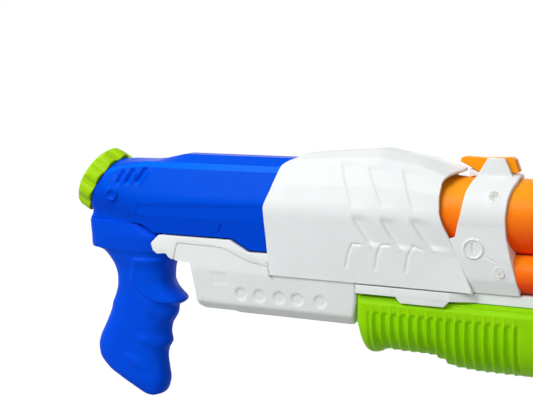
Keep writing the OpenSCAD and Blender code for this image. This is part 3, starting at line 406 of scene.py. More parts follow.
@dataclass(frozen=True)
class Plateau(Relief):
    """A field with an outline, lifted by one height, with sloping edges."""

    outline: Sequence[Sequence[float]]
    lift: float
    edge: float

    def height(self, x: Array, z: Array) -> Array:
        """The lift times a smooth step of the signed distance from the outline.

        Args:
            x: places in the side view.
            z: their heights.

        Returns:
            Height over the plain surface at each place.
        """
        loop = np.asarray(self.outline, float)
        far = line_distance(x, z, np.concatenate([loop, loop[:1]]))
        return self.lift * ease(0.5 + np.where(inside(x, z, loop), far, -far) / self.edge)


@dataclass(frozen=True)
class Crease(Relief):
    """A narrow ridge, or groove where the lift is negative, along a line."""

    line: Sequence[Sequence[float]]
    width: float
    lift: float

    def height(self, x: Array, z: Array) -> Array:
        """The lift times a smooth step that falls from the line to half the width."""
        return self.lift * ease(1 - line_distance(x, z, np.asarray(self.line, float)) / (self.width / 2))


@dataclass(frozen=True)
class Step(Relief):
    """An overlapping scale: the surface drops along a line and comes back over a width on one side of it."""

    line: Sequence[Sequence[float]]
    width: float
    drop: float
    ramp: float
    fade: float = 5.0

    def height(self, x: Array, z: Array) -> Array:
        """Minus the drop, fading with the distance ahead of the line and towards its ends.

        Args:
            x: places in the side view.
            z: their heights.

        Returns:
            Height over the plain surface at each place.
        """
        line = np.asarray(self.line, float)
        top, low = line[:, 1].max(), line[:, 1].min()
        order = np.argsort(line[:, 1])
        ahead = x - np.interp(z, line[order, 1], line[order, 0])
        held = ease((top - z) / self.fade) * ease((z - low) / self.fade)
        return -self.drop * held * ease(ahead / self.ramp) * ease(1 - ahead / self.width)


@dataclass(frozen=True)
class Button(Relief):
    """A round boss, or dimple where the lift is negative."""

    x: float
    z: float
    radius: float
    lift: float
    edge: float = 1.2

    def height(self, x: Array, z: Array) -> Array:
        """The lift times a smooth step of the distance from the rim."""
        return self.lift * ease(0.5 + (self.radius - np.hypot(x - self.x, z - self.z)) / self.edge)


@dataclass(frozen=True)
class Hoop(Relief):
    """A raised ring."""

    x: float
    z: float
    radius: float
    width: float
    lift: float

    def height(self, x: Array, z: Array) -> Array:
        """The lift times a smooth step that falls on both sides of the ring's middle line."""
        off = np.abs(np.hypot(x - self.x, z - self.z) - self.radius)
        return self.lift * ease(1 - off / (self.width / 2))


@dataclass(frozen=True)
class Scoop(Relief):
    """A soft round hollow, or swelling where the lift is positive."""

    x: float
    z: float
    half_x: float
    half_z: float
    lift: float

    def height(self, x: Array, z: Array) -> Array:
        """The lift times a bell curve of the distance in half widths."""
        return self.lift * np.exp(-((x - self.x) / self.half_x) ** 2 - ((z - self.z) / self.half_z) ** 2)


def total_relief(details: Sequence[Relief], x: Array, z: Array) -> Array:
    """Sum of the heights of several details."""
    return sum((d.height(x, z) for d in details), np.zeros_like(x))


@dataclass(frozen=True)
class Bore:
    """A round hole through a wall, seen from the side: its centre, radius and the y above which it is cut."""

    x: float
    z: float
    radius: float
    over: float


@dataclass
class Form:
    """Points in millimetres and faces of one piece, gathered from several surfaces."""

    points: list[Array] = field(default_factory=list)
    quads: list[Array] = field(default_factory=list)
    caps: list[list[int]] = field(default_factory=list)

    def add(self, points: Array, quads: Array, caps: Sequence[Array] = ()) -> "Form":
        """Adds a surface.

        Args:
            points: its points, shape (..., 3).
            quads: its faces of four, as numbers of points.
            caps: its faces of any count.

        Returns:
            The form itself.
        """
        start = sum(len(p) for p in self.points)
        self.points.append(points.reshape(-1, 3))
        self.quads.append(np.asarray(quads, int).reshape(-1, 4) + start)
        self.caps += [(np.asarray(c, int) + start).tolist() for c in caps]
        return self

    def add_wall(self, outer: Array, inner: Array, bores: Sequence[Bore] = ()) -> "Form":
        """Adds a closed wall between two grids of equal shape, joined along every border and bore.

        Args:
            outer: points of the outer skin, shape (rows, columns, 3).
            inner: points of the inner skin, in the same order.
            bores: round holes through the wall.

        Returns:
            The form itself.
        """
        rows, cols = outer.shape[:2]
        keep = np.ones((rows - 1, cols - 1), bool)
        pair = np.stack([outer, inner]).copy()
        number = np.arange(rows * cols).reshape(rows, cols)
        for bore in bores:
            centre = (bore.x, bore.z)
            middle = (outer[:-1, :-1] + outer[1:, 1:]) / 2
            cut = np.hypot(middle[..., 0] - bore.x, middle[..., 2] - bore.z) < bore.radius
            cut &= middle[..., 1] > bore.over
            keep &= ~cut
            rim = np.zeros((rows, cols), int)
            for block in (np.s_[:-1, :-1], np.s_[1:, :-1], np.s_[:-1, 1:], np.s_[1:, 1:]):
                rim[block] += cut
            rim = (rim > 0) & (rim < 4)
            away = pair[0][rim][:, SIDE_VIEW] - centre
            away *= bore.radius / np.maximum(np.linalg.norm(away, axis=-1, keepdims=True), TINY)
            for skin in pair:
                moved = skin[rim]
                moved[:, SIDE_VIEW] = away + centre
                skin[rim] = moved
        face = np.stack([number[:-1, :-1], number[1:, :-1], number[1:, 1:], number[:-1, 1:]], -1)[keep]
        padded = np.pad(keep, 1)
        along = padded[:-1, 1:-1] != padded[1:, 1:-1]
        across = padded[1:-1, :-1] != padded[1:-1, 1:]
        a = np.concatenate([number[:, :-1][along], number[:-1, :][across]])
        b = np.concatenate([number[:, 1:][along], number[1:, :][across]])
        skip = rows * cols
        rim_faces = np.stack([a, b, b + skip, a + skip], -1)
        return self.add(pair.reshape(-1, 3), np.concatenate([face, face[:, ::-1] + skip, rim_faces]))

    def add_ring(self, grid: Array) -> "Form":
        """Adds a grid that closes on itself along both parameters.

        Args:
            grid: points, shape (rows, columns, 3).

        Returns:
            The form itself.
        """
        rows, cols = grid.shape[:2]
        number = np.arange(rows * cols).reshape(rows, cols)
        down, right = np.roll(number, -1, 0), np.roll(number, -1, 1)
        return self.add(grid, np.stack([number, down, np.roll(down, -1, 1), right], -1))

    def add_bar(self, grid: Array) -> "Form":
        """Adds a grid whose rows are closed loops, with a flat face over the first and the last row.

        Args:
            grid: points, shape (rows, columns, 3).

        Returns:
            The form itself.
        """
        rows, cols = grid.shape[:2]
        number = np.arange(rows * cols).reshape(rows, cols)
        right = np.roll(number, -1, 1)
        quads = np.stack([number[:-1], number[1:], right[1:], right[:-1]], -1)
        return self.add(grid, quads, [number[0][::-1], number[-1]])

    def mirrored(self) -> "Form":
        """The same piece on the other side of the mid plane."""
        return Form([p * (1, -1, 1) for p in self.points], [q[:, ::-1] for q in self.quads],
                    [c[::-1] for c in self.caps])

    def piece(self, name: str, finish: "Finish", body: Body | None, nodes: Sequence[str]) -> bpy.types.Object:
        """Makes the mesh object, closes its seams and poles, and hands it to the part.

        Args:
            name: name of the new piece.
            finish: its finish.
            body: the body it moves with, or None to leave it on no body.
            nodes: nodes of the part that it stands for.

        Returns:
            The new object, at the origin, with its place in its mesh.
        """
        faces = np.concatenate(self.quads).tolist() + self.caps
        mesh = bpy.data.meshes.new(name)
        mesh.from_pydata(PLACE.metres(np.concatenate(self.points)).tolist(), [], faces)
        work = bmesh.new()
        work.from_mesh(mesh)
        bmesh.ops.remove_doubles(work, verts=work.verts, dist=WELD)
        bmesh.ops.dissolve_degenerate(work, edges=work.edges, dist=WELD)
        bmesh.ops.recalc_face_normals(work, faces=work.faces)
        work.to_mesh(mesh)
        work.free()
        mesh.polygons.foreach_set("use_smooth", np.ones(len(mesh.polygons), bool))
        mesh.set_sharp_from_angle(angle=math.radians(CRISP))
        made = bpy.data.objects.new(name, mesh)
        bpy.context.scene.collection.objects.link(made)
        mesh.materials.append(finish.material())
        if body:
            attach(made, body.value)
        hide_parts(*nodes)
        log.info("%s: %d faces, stands for %s", name, len(mesh.polygons), ", ".join(nodes))
        return made


def plate(outline: Sequence[Sequence[float]], first: float, last: float, corner: float | Sequence[float],
          edge: float, view: View = View.SIDE) -> Array:
    """Grid of a plate with a rounded outline and rounded edges.

    The outline is carried through the plate's thickness. At both faces it is drawn in along a quarter circle.

    Args:
        outline: corners of the outline.
        first: place of the plate's first face.
        last: place of its second face.
        corner: fillet radius of the outline's corners, or one for each.
        edge: radius of the plate's edges.
        view: the view in which the outline is drawn.

    Returns:
        Points, shape (rows, points, 3), rows being closed loops.
    """
    loop = rounded_loop(outline, corner, PLATE_STEP)
    ahead = np.roll(loop, -1, 0) - np.roll(loop, 1, 0)
    normal = np.stack([ahead[:, 1], -ahead[:, 0]], -1)
    normal /= np.maximum(np.linalg.norm(normal, axis=-1, keepdims=True), TINY)
    x, y = loop[:, 0], loop[:, 1]
    if (x * np.roll(y, -1) - np.roll(x, -1) * y).sum() < 0:
        normal = -normal
    turn = np.linspace(0, np.pi / 2, 5)
    draw = np.concatenate([edge * (1 - np.sin(turn)), edge * (1 - np.cos(turn))])
    level = np.concatenate([first + edge * (1 - np.cos(turn)), last - edge * (1 - np.sin(turn))])
    flat = loop[None] - normal[None] * draw[:, None, None]
    grid = np.zeros((len(draw), len(loop), 3))
    across, up, through = view.value
    grid[..., across], grid[..., up] = flat[..., 0], flat[..., 1]
    grid[..., through] = level[:, None]
    return grid


def lathe_x(profile: Sequence[Sequence[float]], y: float, z: float, count: int) -> Array:
    """Grid of a closed profile, turned about an axis along x.

    A point stands off the axis by its radius times the cosine and the sine of the angle.

    Args:
        profile: points of x and radius.
        y: place of the axis.
        z: height of the axis.
        count: points round the axis.

    Returns:
        Points, shape (points of the profile, count, 3).
    """
    p = np.asarray(profile, float)
    a = np.linspace(0, 2 * np.pi, count, endpoint=False)
    x = np.broadcast_to(p[:, :1], (len(p), count))
    return np.stack([x, y + p[:, 1:] * np.cos(a), z + p[:, 1:] * np.sin(a)], -1)


def screw_cup(x: float, z: float, seat: float, rim: float, inner: float = 1.7, bore: float = SCREW_BORE,
              outer: float = 4.6, root: float = 0.3) -> Array:
    """Grid of a screw boss: a tube along y, turned from a profile with a floor for the screw's head.

    Args:
        x: the screw's place.
        z: its height.
        seat: y of the floor.
        rim: y of the end under the skin.
        inner: radius of the thread's passage.
        bore: radius of the head's passage.
        outer: outer radius.
        root: y of the end near the mid plane.

    Returns:
        Points, shape (points of the profile, points round the boss, 3).
    """
    profile = [[root, inner], [seat, inner], [seat, bore], [rim, bore], [rim, outer], [root, outer]]
    return lathe_x(profile, x, z, BOSS_POINTS)[..., [1, 0, 2]]


def boss_rims(grid: Array, screws: Sequence[Sequence[float]], over: float, drop: float) -> list[float]:
    """Where the bosses of a half moulding end: a drop below the surface, at its point nearest to each screw.

    Args:
        grid: points of the surface, shape (rows, columns, 3).
        screws: place, height and seat of each screw.
        over: y above which the surface is looked for.
        drop: how far a boss ends below it.

    Returns:
        The y of each boss's end.
    """
    x, y, z = np.moveaxis(grid, -1, 0)
    away = [np.hypot(x - screw_x, z - screw_z) + FAR_OFF * (y < over) for screw_x, screw_z, _ in screws]
    return [y.flat[far.argmin()] - drop for far in away]


def screwed_half(side: Side, walls: tuple[Array, Array], screws: Sequence[Sequence[float]], over: float,
                 rims: Sequence[float], bars: Sequence[Array] = ()) -> Form:
    """Wall of one half of a moulding, with its bars, and on the left the holes and bosses for its screws.

    Args:
        side: which half.
        walls: its outer and inner skin.
        screws: place, height and seat of each screw.
        over: y above which the wall is holed.
        rims: y of each boss's end under the skin.
        bars: grids of plates that stand on the wall.

    Returns:
        The half, drawn on the left.
    """
    if side is Side.RIGHT:
        screws = ()
    form = Form().add_wall(*walls, [Bore(x, z, SCREW_BORE, over) for x, z, _ in screws])
    for bar in bars:
        form.add_bar(bar)
    for (x, z, seat), rim in zip(screws, rims):
        form.add_ring(screw_cup(x, z, seat, rim))
    return form


def node(tree: bpy.types.NodeTree, kind: str, inputs: dict | None = None, **settings) -> bpy.types.Node:
    """Adds a node, with its settings, and sets or links its inputs.

    Args:
        tree: the tree that takes the node.
        kind: type name of the node.
        inputs: value or output socket for each named or numbered input.
        settings: properties of the node.

    Returns:
        The new node.
    """
    made = tree.nodes.new(kind)
    for key, value in settings.items():
        setattr(made, key, value)
    for key, value in (inputs or {}).items():
        if isinstance(value, bpy.types.NodeSocket):
            tree.links.new(value, made.inputs[key])
        else:
            made.inputs[key].default_value = value
    return made


def linear(code: str) -> tuple[float, float, float, float]:
    """Linear colour of an sRGB hex code.

    Args:
        code: the code, with its hash sign.

    Returns:
        Red, green, blue and an alpha of 1.
    """
    parts = [int(code[i:i + 2], 16) / 255 for i in (1, 3, 5)]
    r, g, b = (p / 12.92 if p <= 0.04045 else ((p + 0.055) / 1.055) ** 2.4 for p in parts)
    return r, g, b, 1.0


# Lean of a face, as the z of its normal, that counts as bevelled and gets a painted highlight, and how far
# from it the painted highlight fades.
BEVEL_HIGHLIGHT_LEAN = 0.7
BEVEL_HIGHLIGHT_FADE = (0.04, 0.13)
# Where a cloud's darker and lighter tone begin.
CLOUD_SPAN = (0.3, 0.7)
# Size of the cloud that the roughness follows, in grains.
CLOUD_GRAINS = 6


@dataclass(frozen=True)
class Finish:
    """A material: what it is, how its surface was made, and what that gives the eye."""

    name: str
    slot: str
    colour: str
    shade: str
    roughness: float
    spread: float = 0.05
    ior: float = 1.5
    gloss: float = 0.15
    metallic: float = 0.0
    flow_mm: float = 30.0
    grain_mm: float = 1.6
    grain_depth_mm: float = 0.02
    glow: float = 0.0
    glow_mm: float = 3.0
    glow_tint: tuple[float, float, float] = (1.0, 1.0, 1.0)
    # Colour painted as shade on faces that look down, and over what span of their normal's z it comes in.
    under: str = ""
    painted_shade_span: tuple[float, float] = (0.7, -0.5)
    # Colour of a painted highlight on bevelled faces.
    bevel_highlight: str = ""
    stretch: tuple[float, float, float] = (1.0, 1.0, 1.0)

    def material(self) -> bpy.types.Material:
        """The node material, made once.

        Two tones are mixed by a slow cloud, as pigment flows in a mould. Faces that look down may get a
        painted shade, and bevelled faces a painted highlight. The roughness follows a finer cloud, and a fine
        grain stands in relief.

        Returns:
            The material of this finish.
        """
        found = bpy.data.materials.get(self.name)
        if found:
            return found
        made = bpy.data.materials.new(self.name)
        made.use_nodes = True
        tree = made.node_tree
        tree.nodes.clear()
        place = node(tree, "ShaderNodeTexCoord").outputs["Object"]
        place = node(tree, "ShaderNodeMapping", {"Vector": place, "Scale": self.stretch}).outputs["Vector"]
        flow = node(tree, "ShaderNodeTexNoise", {
            "Vector": place, "Scale": 1 / (self.flow_mm * MM), "Detail": 3.0})
        tone = node(tree, "ShaderNodeValToRGB", {"Fac": flow.outputs["Fac"]})
        for stop, position, code in zip(tone.color_ramp.elements, CLOUD_SPAN, (self.shade, self.colour)):
            stop.position = position
            stop.color = linear(code)
        base = tone.outputs["Color"]
        normal = node(tree, "ShaderNodeNewGeometry").outputs["Normal"]
        facing = node(tree, "ShaderNodeSeparateXYZ", {0: normal}).outputs["Z"]
        # Painted shade: faces that look down turn towards the under colour.
        if self.under:
            down = node(tree, "ShaderNodeMapRange", {
                "Value": facing, "From Min": self.painted_shade_span[0], "From Max": self.painted_shade_span[1]})
            base = node(tree, "ShaderNodeMixRGB", {
                "Fac": down.outputs["Result"], "Color1": base, "Color2": linear(self.under)}).outputs["Color"]
        # Painted highlight: faces near the bevelled lean turn towards the highlight colour.
        if self.bevel_highlight:
            off = node(tree, "ShaderNodeMath", {0: facing, 1: BEVEL_HIGHLIGHT_LEAN}, operation="SUBTRACT")
            size = node(tree, "ShaderNodeMath", {0: off.outputs[0]}, operation="ABSOLUTE")
            near = node(tree, "ShaderNodeMapRange", {
                "Value": size.outputs[0], "From Min": BEVEL_HIGHLIGHT_FADE[0], "From Max": BEVEL_HIGHLIGHT_FADE[1],
                "To Min": 1.0, "To Max": 0.0})
            base = node(tree, "ShaderNodeMixRGB", {
                "Fac": near.outputs["Result"], "Color1": base, "Color2": linear(self.bevel_highlight)}).outputs["Color"]
        cloud = node(tree, "ShaderNodeTexNoise", {
            "Vector": place, "Scale": 1 / (CLOUD_GRAINS * self.grain_mm * MM), "Detail": 2.0})
        rough = node(tree, "ShaderNodeMapRange", {
            "Value": cloud.outputs["Fac"], "From Min": CLOUD_SPAN[0], "From Max": CLOUD_SPAN[1],
            "To Min": self.roughness - self.spread, "To Max": self.roughness + self.spread})
        grain = node(tree, "ShaderNodeTexNoise", {
            "Vector": place, "Scale": 1 / (self.grain_mm * MM), "Detail": 2.0})
        bump = node(tree, "ShaderNodeBump", {
            "Height": grain.outputs["Fac"], "Strength": 1.0, "Distance": self.grain_depth_mm * MM})
        shader = node(tree, "ShaderNodeBsdfPrincipled", {
            "Base Color": base, "Roughness": rough.outputs["Result"],
            "Normal": bump.outputs["Normal"], "Metallic": self.metallic, "IOR": self.ior,
            "Specular IOR Level": self.gloss,
            "Subsurface Weight": self.glow, "Subsurface Scale": self.glow_mm * MM,
            "Subsurface Radius": self.glow_tint})
        node(tree, "ShaderNodeOutputMaterial", {"Surface": shader.outputs["BSDF"]})
        return made


# Blow-moulded polyethylene: satin cobalt, with a painted highlight on its bevelled faces and painted shade on
# faces that look down, too thick to show the water.
TANK_BLUE = Finish("polyethylene_blown_blue", "tank_blue", "#0051E0", "#004DDA", 0.26, gloss=0.02,
                   under="#0045D2", painted_shade_span=(0.3, -0.1), bevel_highlight="#0067EC")
# Moulded ABS: the same cobalt a trace lighter, and more matt.
GRIP_BLUE = Finish("abs_moulded_blue", "grip_blue", "#0250E8", "#014BE0", 0.4, gloss=0.03)
# Moulded polypropylene in light lime: waxy, lets a little light through its edges.
CAP_LIME = Finish("polypropylene_moulded_light_lime", "cap_lime", "#A8D80C", "#9FD008", 0.4, gloss=0.08,
                  glow=0.15, glow_tint=(1.0, 1.0, 0.3))
# Moulded polypropylene in deep lime: waxy ribs that shade to a darker green in their valleys.
PUMP_LIME = Finish("polypropylene_moulded_lime", "pump_lime", "#98DC06", "#90D404", 0.36, gloss=0.07,
                   glow=0.1, glow_tint=(0.8, 1.0, 0.2))
# Moulded white ABS: cool white, satin, nearly free of texture.
SHELL_WHITE = Finish("abs_moulded_white", "shell_white", "#E9ECEC", "#E5E9E9", 0.38)
# Moulded white ABS of the lower frame: a trace greener and more matt.
FRAME_WHITE = Finish("abs_moulded_frame_white", "frame_white", "#EAEEEC", "#E6EAE8", 0.44)
# Moulded polypropylene in orange: light enters it and spreads red through the wall, and faces that look down
# get a painted shade of red orange.
BARREL_ORANGE = Finish("polypropylene_moulded_orange", "barrel_orange", "#FFA01C", "#FF9A17", 0.3, gloss=0.1,
                       glow=0.2, glow_mm=3.0, glow_tint=(1.0, 0.2, 0.05), under="#FF5A0A")
# The same orange in the lower tubes, with painted shade for the barrel's shadow: deeper and redder all over,
# and redder still on faces that look down.
TUBE_ORANGE = replace(BARREL_ORANGE, name="polypropylene_moulded_deep_orange", colour="#FF8C16",
                      shade="#FF8612", under="#FF4A08")
# The same orange in a thin part, without the painted shade on faces that look down and without light inside
# it: as yellow below as above, and matt.
SIGHT_ORANGE = replace(BARREL_ORANGE, name="polypropylene_moulded_thin_orange", under="", glow=0.0,
                       gloss=0.01)
# Moulded rubber: near black, dull, with a dusty sheen.
RUBBER = Finish("rubber_moulded_black", "seal_rubber", "#1B1B1C", "#151516", 0.72, ior=1.52, grain_mm=0.8)
# Unpigmented polypropylene: milky and waxy, with light inside it.
NATURAL = Finish("polypropylene_natural", "natural_plastic", "#D9DEDC", "#D2D8D6", 0.42, glow=0.4,
                 glow_mm=4.0)
# Extruded vinyl hose: milky and smooth, with light inside it.
HOSE = Finish("vinyl_extruded_milky", "hose_vinyl", "#CFD8DA", "#C6D0D3", 0.3, glow=0.3, glow_mm=3.0)
# Moulded acetal: dense white with a faint sheen.
ACETAL = Finish("acetal_moulded_white", "white_acetal", "#ECEBE6", "#E6E5E0", 0.4)
# Zinc-plated steel: pale grey metal with fine drawn lines.
STEEL = Finish("steel_zinc_plated", "steel", "#D3D4D6", "#C6C8CB", 0.34, gloss=0.5, metallic=1.0,
               grain_mm=0.5, stretch=(1.0, 0.2, 1.0))

# Height of the deck that the shell stands on.
DECK = -56.896
# Place and radius of the two lower tubes.
TUBE_Y, TUBE_Z, TUBE_R = 15.0, -41.896, 14.5
# Radii of the bores that hold the barrel and the tubes, and the point between them that rays start from.
BARREL_HOLD, TUBE_HOLD = 29.7, 14.7
HUB = np.array([0.0, -22.0])
# Height of the pump cylinder's axis.
PUMP_AXIS = -75.896
# Rear of the sight's foot, half the sight's width, and front of the band under it.
SIGHT_REAR, SIGHT_HALF, BAND_FRONT = 170.0, 6.0, 195.5
# Middle of the filler neck's seat, the neck's axis, and the two directions square to it.
NECK_CENTRE = np.array([-164.0, 0.0, 6.6])
NECK_AXIS = np.array([-math.sin(math.pi / 3), 0.0, 0.5])
NECK_UP = np.array([0.5, 0.0, math.sin(math.pi / 3)])
ASIDE = np.array([0.0, 1.0, 0.0])


def both_halves(forms: dict[Side, Form], stem: str, finish: Finish, body: Body) -> None:
    """Makes the two pieces of a moulding that is split on the mid plane.

    Args:
        forms: the two halves, both drawn on the left.
        stem: the moulding's name.
        finish: its finish.
        body: the body it moves with.
    """
    for side, form in forms.items():
        word = side.name.lower()
        shape = form.mirrored() if side is Side.RIGHT else form
        shape.piece(f"{stem}_{word}_moulding", finish, body, [f"{stem}_{word}"])


@dataclass
class Tank:
    """Blown water tank in two welded halves, with a leaning round end for the filler."""

    half_w: float = 31.0
    length: float = 119.0
    front: float = 32.0
    top: float = 32.0
    ridge: float = 38.5
    wall: float = 2.5
    end_r: float = 29.5
    end_edge: float = 0.8
    end_cut: float = 0.23
    mouth_r: float = 22.9
    step: float = 1.1
    bulge_at: float = 0.32

    def straight(self) -> Array:
        """Rings of the straight part: a faceted section with rounded corners.

        The section's top and floor are read from tables along the tank.

        Returns:
            Points, shape (rings, points, 3).
        """
        x = np.linspace(-self.length, self.front, 140)
        top = soft_table(x, [-114, -86], [self.top, self.ridge], soft=1.0)
        low = soft_table(x, [-119, -107, -32, -15], [-22, -30, -30, -39], soft=1.0)
        w = self.half_w
        corners = corner_table((0, top), (8, top), (18, self.top - 0.2), (23, self.top - 5), (w, 0), (w, -14),
                               (w - 2, low), (0, low))
        return along_x(x, rounded_chain(corners, [2, 1.5, 1.5, 40, 6, 1], self.step))

    def rear(self, ring: Array) -> Array:
        """Rings from the filler's round seat to the straight part.

        The seat is a circle that leans with the neck. On the way stands a bulged ring with a flat heel, and a
        cubic curve runs through the three for every point of the section.

        Args:
            ring: first ring of the straight part.

        Returns:
            Points, shape (rings, points, 3).
        """
        way = travelled(ring)
        corner_way = np.array([0, 8, 18, 25.1, 53.3, 67.3, 75.5, 104.5])
        marks = np.interp(way / way[-1], corner_way / corner_way[-1], np.arange(8))
        angle = np.radians(np.interp(marks, np.arange(8), [0, 15, 33, 48, 88, 118, 150, 180]))
        spoke = np.cos(angle)[:, None] * NECK_UP + np.sin(angle)[:, None] * ASIDE
        seat = NECK_CENTRE - self.end_edge * NECK_AXIS + self.end_r * spoke
        k = self.bulge_at
        bulge = (1 - k) * seat + k * ring
        bulge[:, 1] *= 1.025
        bulge[:, 2] += 0.6 * ease((4.2 - marks) / 0.8)
        heel = np.stack([np.interp(marks, [5, 6, 7], [-171, -171, -175.5]),
                         np.interp(marks, [5, 6, 7], [24.5, 24.5, 0]), np.full_like(marks, -22)], -1)
        share = ease(marks - 5)[:, None]
        bulge = bulge * (1 - share) + heel * share
        s = np.linspace(0, 1, 60)[:, None, None]
        first = s < k
        t = np.where(first, s / k, (s - k) / (1 - k))
        a, b = np.where(first, seat, bulge), np.where(first, bulge, ring)
        gap = np.where(first, k, 1 - k)
        slope_a = np.where(first, (bulge - seat) / k, ring - seat)
        slope_b = np.where(first, ring - seat, (ring - bulge) / (1 - k))
        curve = a + (b - a) * ease(t) + gap * (slope_a * t * (1 - t) ** 2 + slope_b * t * t * (t - 1))
        turn = [(self.mouth_r, 0.0), (self.end_r - self.end_edge, 0.0),
                (self.end_r - self.end_cut, -self.end_cut)]
        rim = np.stack([NECK_CENTRE + up * NECK_AXIS + r * spoke for r, up in turn])
        return np.concatenate([rim, curve[:-1]])

    def details(self) -> list[Relief]:
        """Sunken side panel, three slanted vent grooves with lips, a dished round boss and a short mark.

        Returns:
            The details of one side.
        """
        panel = [[-122, -5.5], [-124, -14], [-121.5, -18], [-108, -31], [-108, -60], [60, -60], [60, -0.5],
                 [-4, -0.5]]
        vents = [[[-141.8, 13.5], [-139.2, 21.5]], [[-133, 14.2], [-129.3, 23.3]],
                 [[-123.3, 14.8], [-117, 24.8]]]
        lips = [[[x + 4.2, z - 1.2] for x, z in vent] for vent in vents]
        mark = [[-40.5, -18.5], [-43.3, -25.5]]
        return [Plateau(panel, lift=-0.8, edge=2.4), *[Crease(vent, width=6.5, lift=-2.2) for vent in vents],
                *[Crease(lip, width=3.0, lift=0.6) for lip in lips],
                Button(-147.3, 2.6, radius=6.4, lift=1.7), Button(-147.0, 2.2, radius=3.4, lift=-1.5),
                Crease(mark, width=2.6, lift=-1.4)]

    def half(self) -> Form:
        """The left half: outer skin with its details, and an even wall inside it.

        Returns:
            The half, drawn on the left.
        """
        straight = self.straight()
        rear = self.rear(straight[0])
        wall = np.stack([straight[-1] * (1, f, f) for f in (0.97, 0.5, 0.0)])
        grid = add_edge_lines(np.concatenate([rear, straight, wall]), 1)
        normal = outward_normals(grid, 80)
        normal[:2], normal[-3:] = NECK_AXIS, (1, 0, 0)
        x, y, z = np.moveaxis(grid, -1, 0)
        lift = total_relief(self.details(), x, z) * ease((y - 12) / 4)
        lift -= edge_drop(grid, 1, Border.BOTH, PARTING)
        lift[:2], lift[-3:] = 0, 0
        outer, inner = skins(grid, normal, lift, self.wall)
        for skin in (outer, inner):
            skin[:, [0, -1], 1] = 0
        return Form().add_wall(outer, inner)

    def build(self) -> None:
        """Makes both halves."""
        both_halves(dict.fromkeys(Side, self.half()), "tank", TANK_BLUE, Body.HOUSING)


@dataclass
class Cap:
    """Screw cap with wide finger lobes and a hole for the air valve."""

    radius: float = 31.0
    base: float = 2.6
    height: float = 16.0
    roof: float = 2.4
    inner_r: float = 26.5
    lobes: int = 10
    lobe_r: float = 8.0
    waist: float = 28.3
    vent_r: float = 2.05

    def grid(self) -> Array:
        """A closed profile turned about the neck's axis.

        On the side, the radius is the lesser of the profile and a ring of round lobes.

        Returns:
            Points, shape (points of the profile, points round the cap, 3).
        """
        r, b, h = self.radius, self.base, self.base + self.height
        profile = rounded_loop([
            [self.vent_r, h - 0.5], [19, h - 0.5], [20, h], [r - 6, h], [r - 4, h - 0.5], [r - 1.2, h - 2.6],
            [r, h - 6], [r, b + 1.4], [r - 0.7, b], [self.inner_r, b], [self.inner_r, h - self.roof],
            [self.vent_r, h - self.roof]], radius=0.9, step=1.2)
        a = np.linspace(0, 2 * np.pi, 360, endpoint=False)
        sector = 2 * np.pi / self.lobes
        off = (a + sector / 2) % sector - sector / 2
        middle = r - self.lobe_r
        swell = middle * np.cos(off) + np.sqrt(np.maximum(self.lobe_r ** 2 - (middle * np.sin(off)) ** 2, 0))
        swell = np.maximum(swell, self.waist)
        rad = np.where(profile[:, :1] > self.inner_r + 0.1, np.minimum(profile[:, :1], swell), profile[:, :1])
        up = np.broadcast_to(profile[:, 1:], rad.shape)
        return (NECK_CENTRE + (rad * np.cos(a))[..., None] * NECK_UP + (rad * np.sin(a))[..., None] * ASIDE
                + up[..., None] * NECK_AXIS)

    def build(self) -> None:
        """Makes the cap."""
        Form().add_ring(self.grid()).piece("cap_moulding", CAP_LIME, Body.CAP, ["tank_cap"])


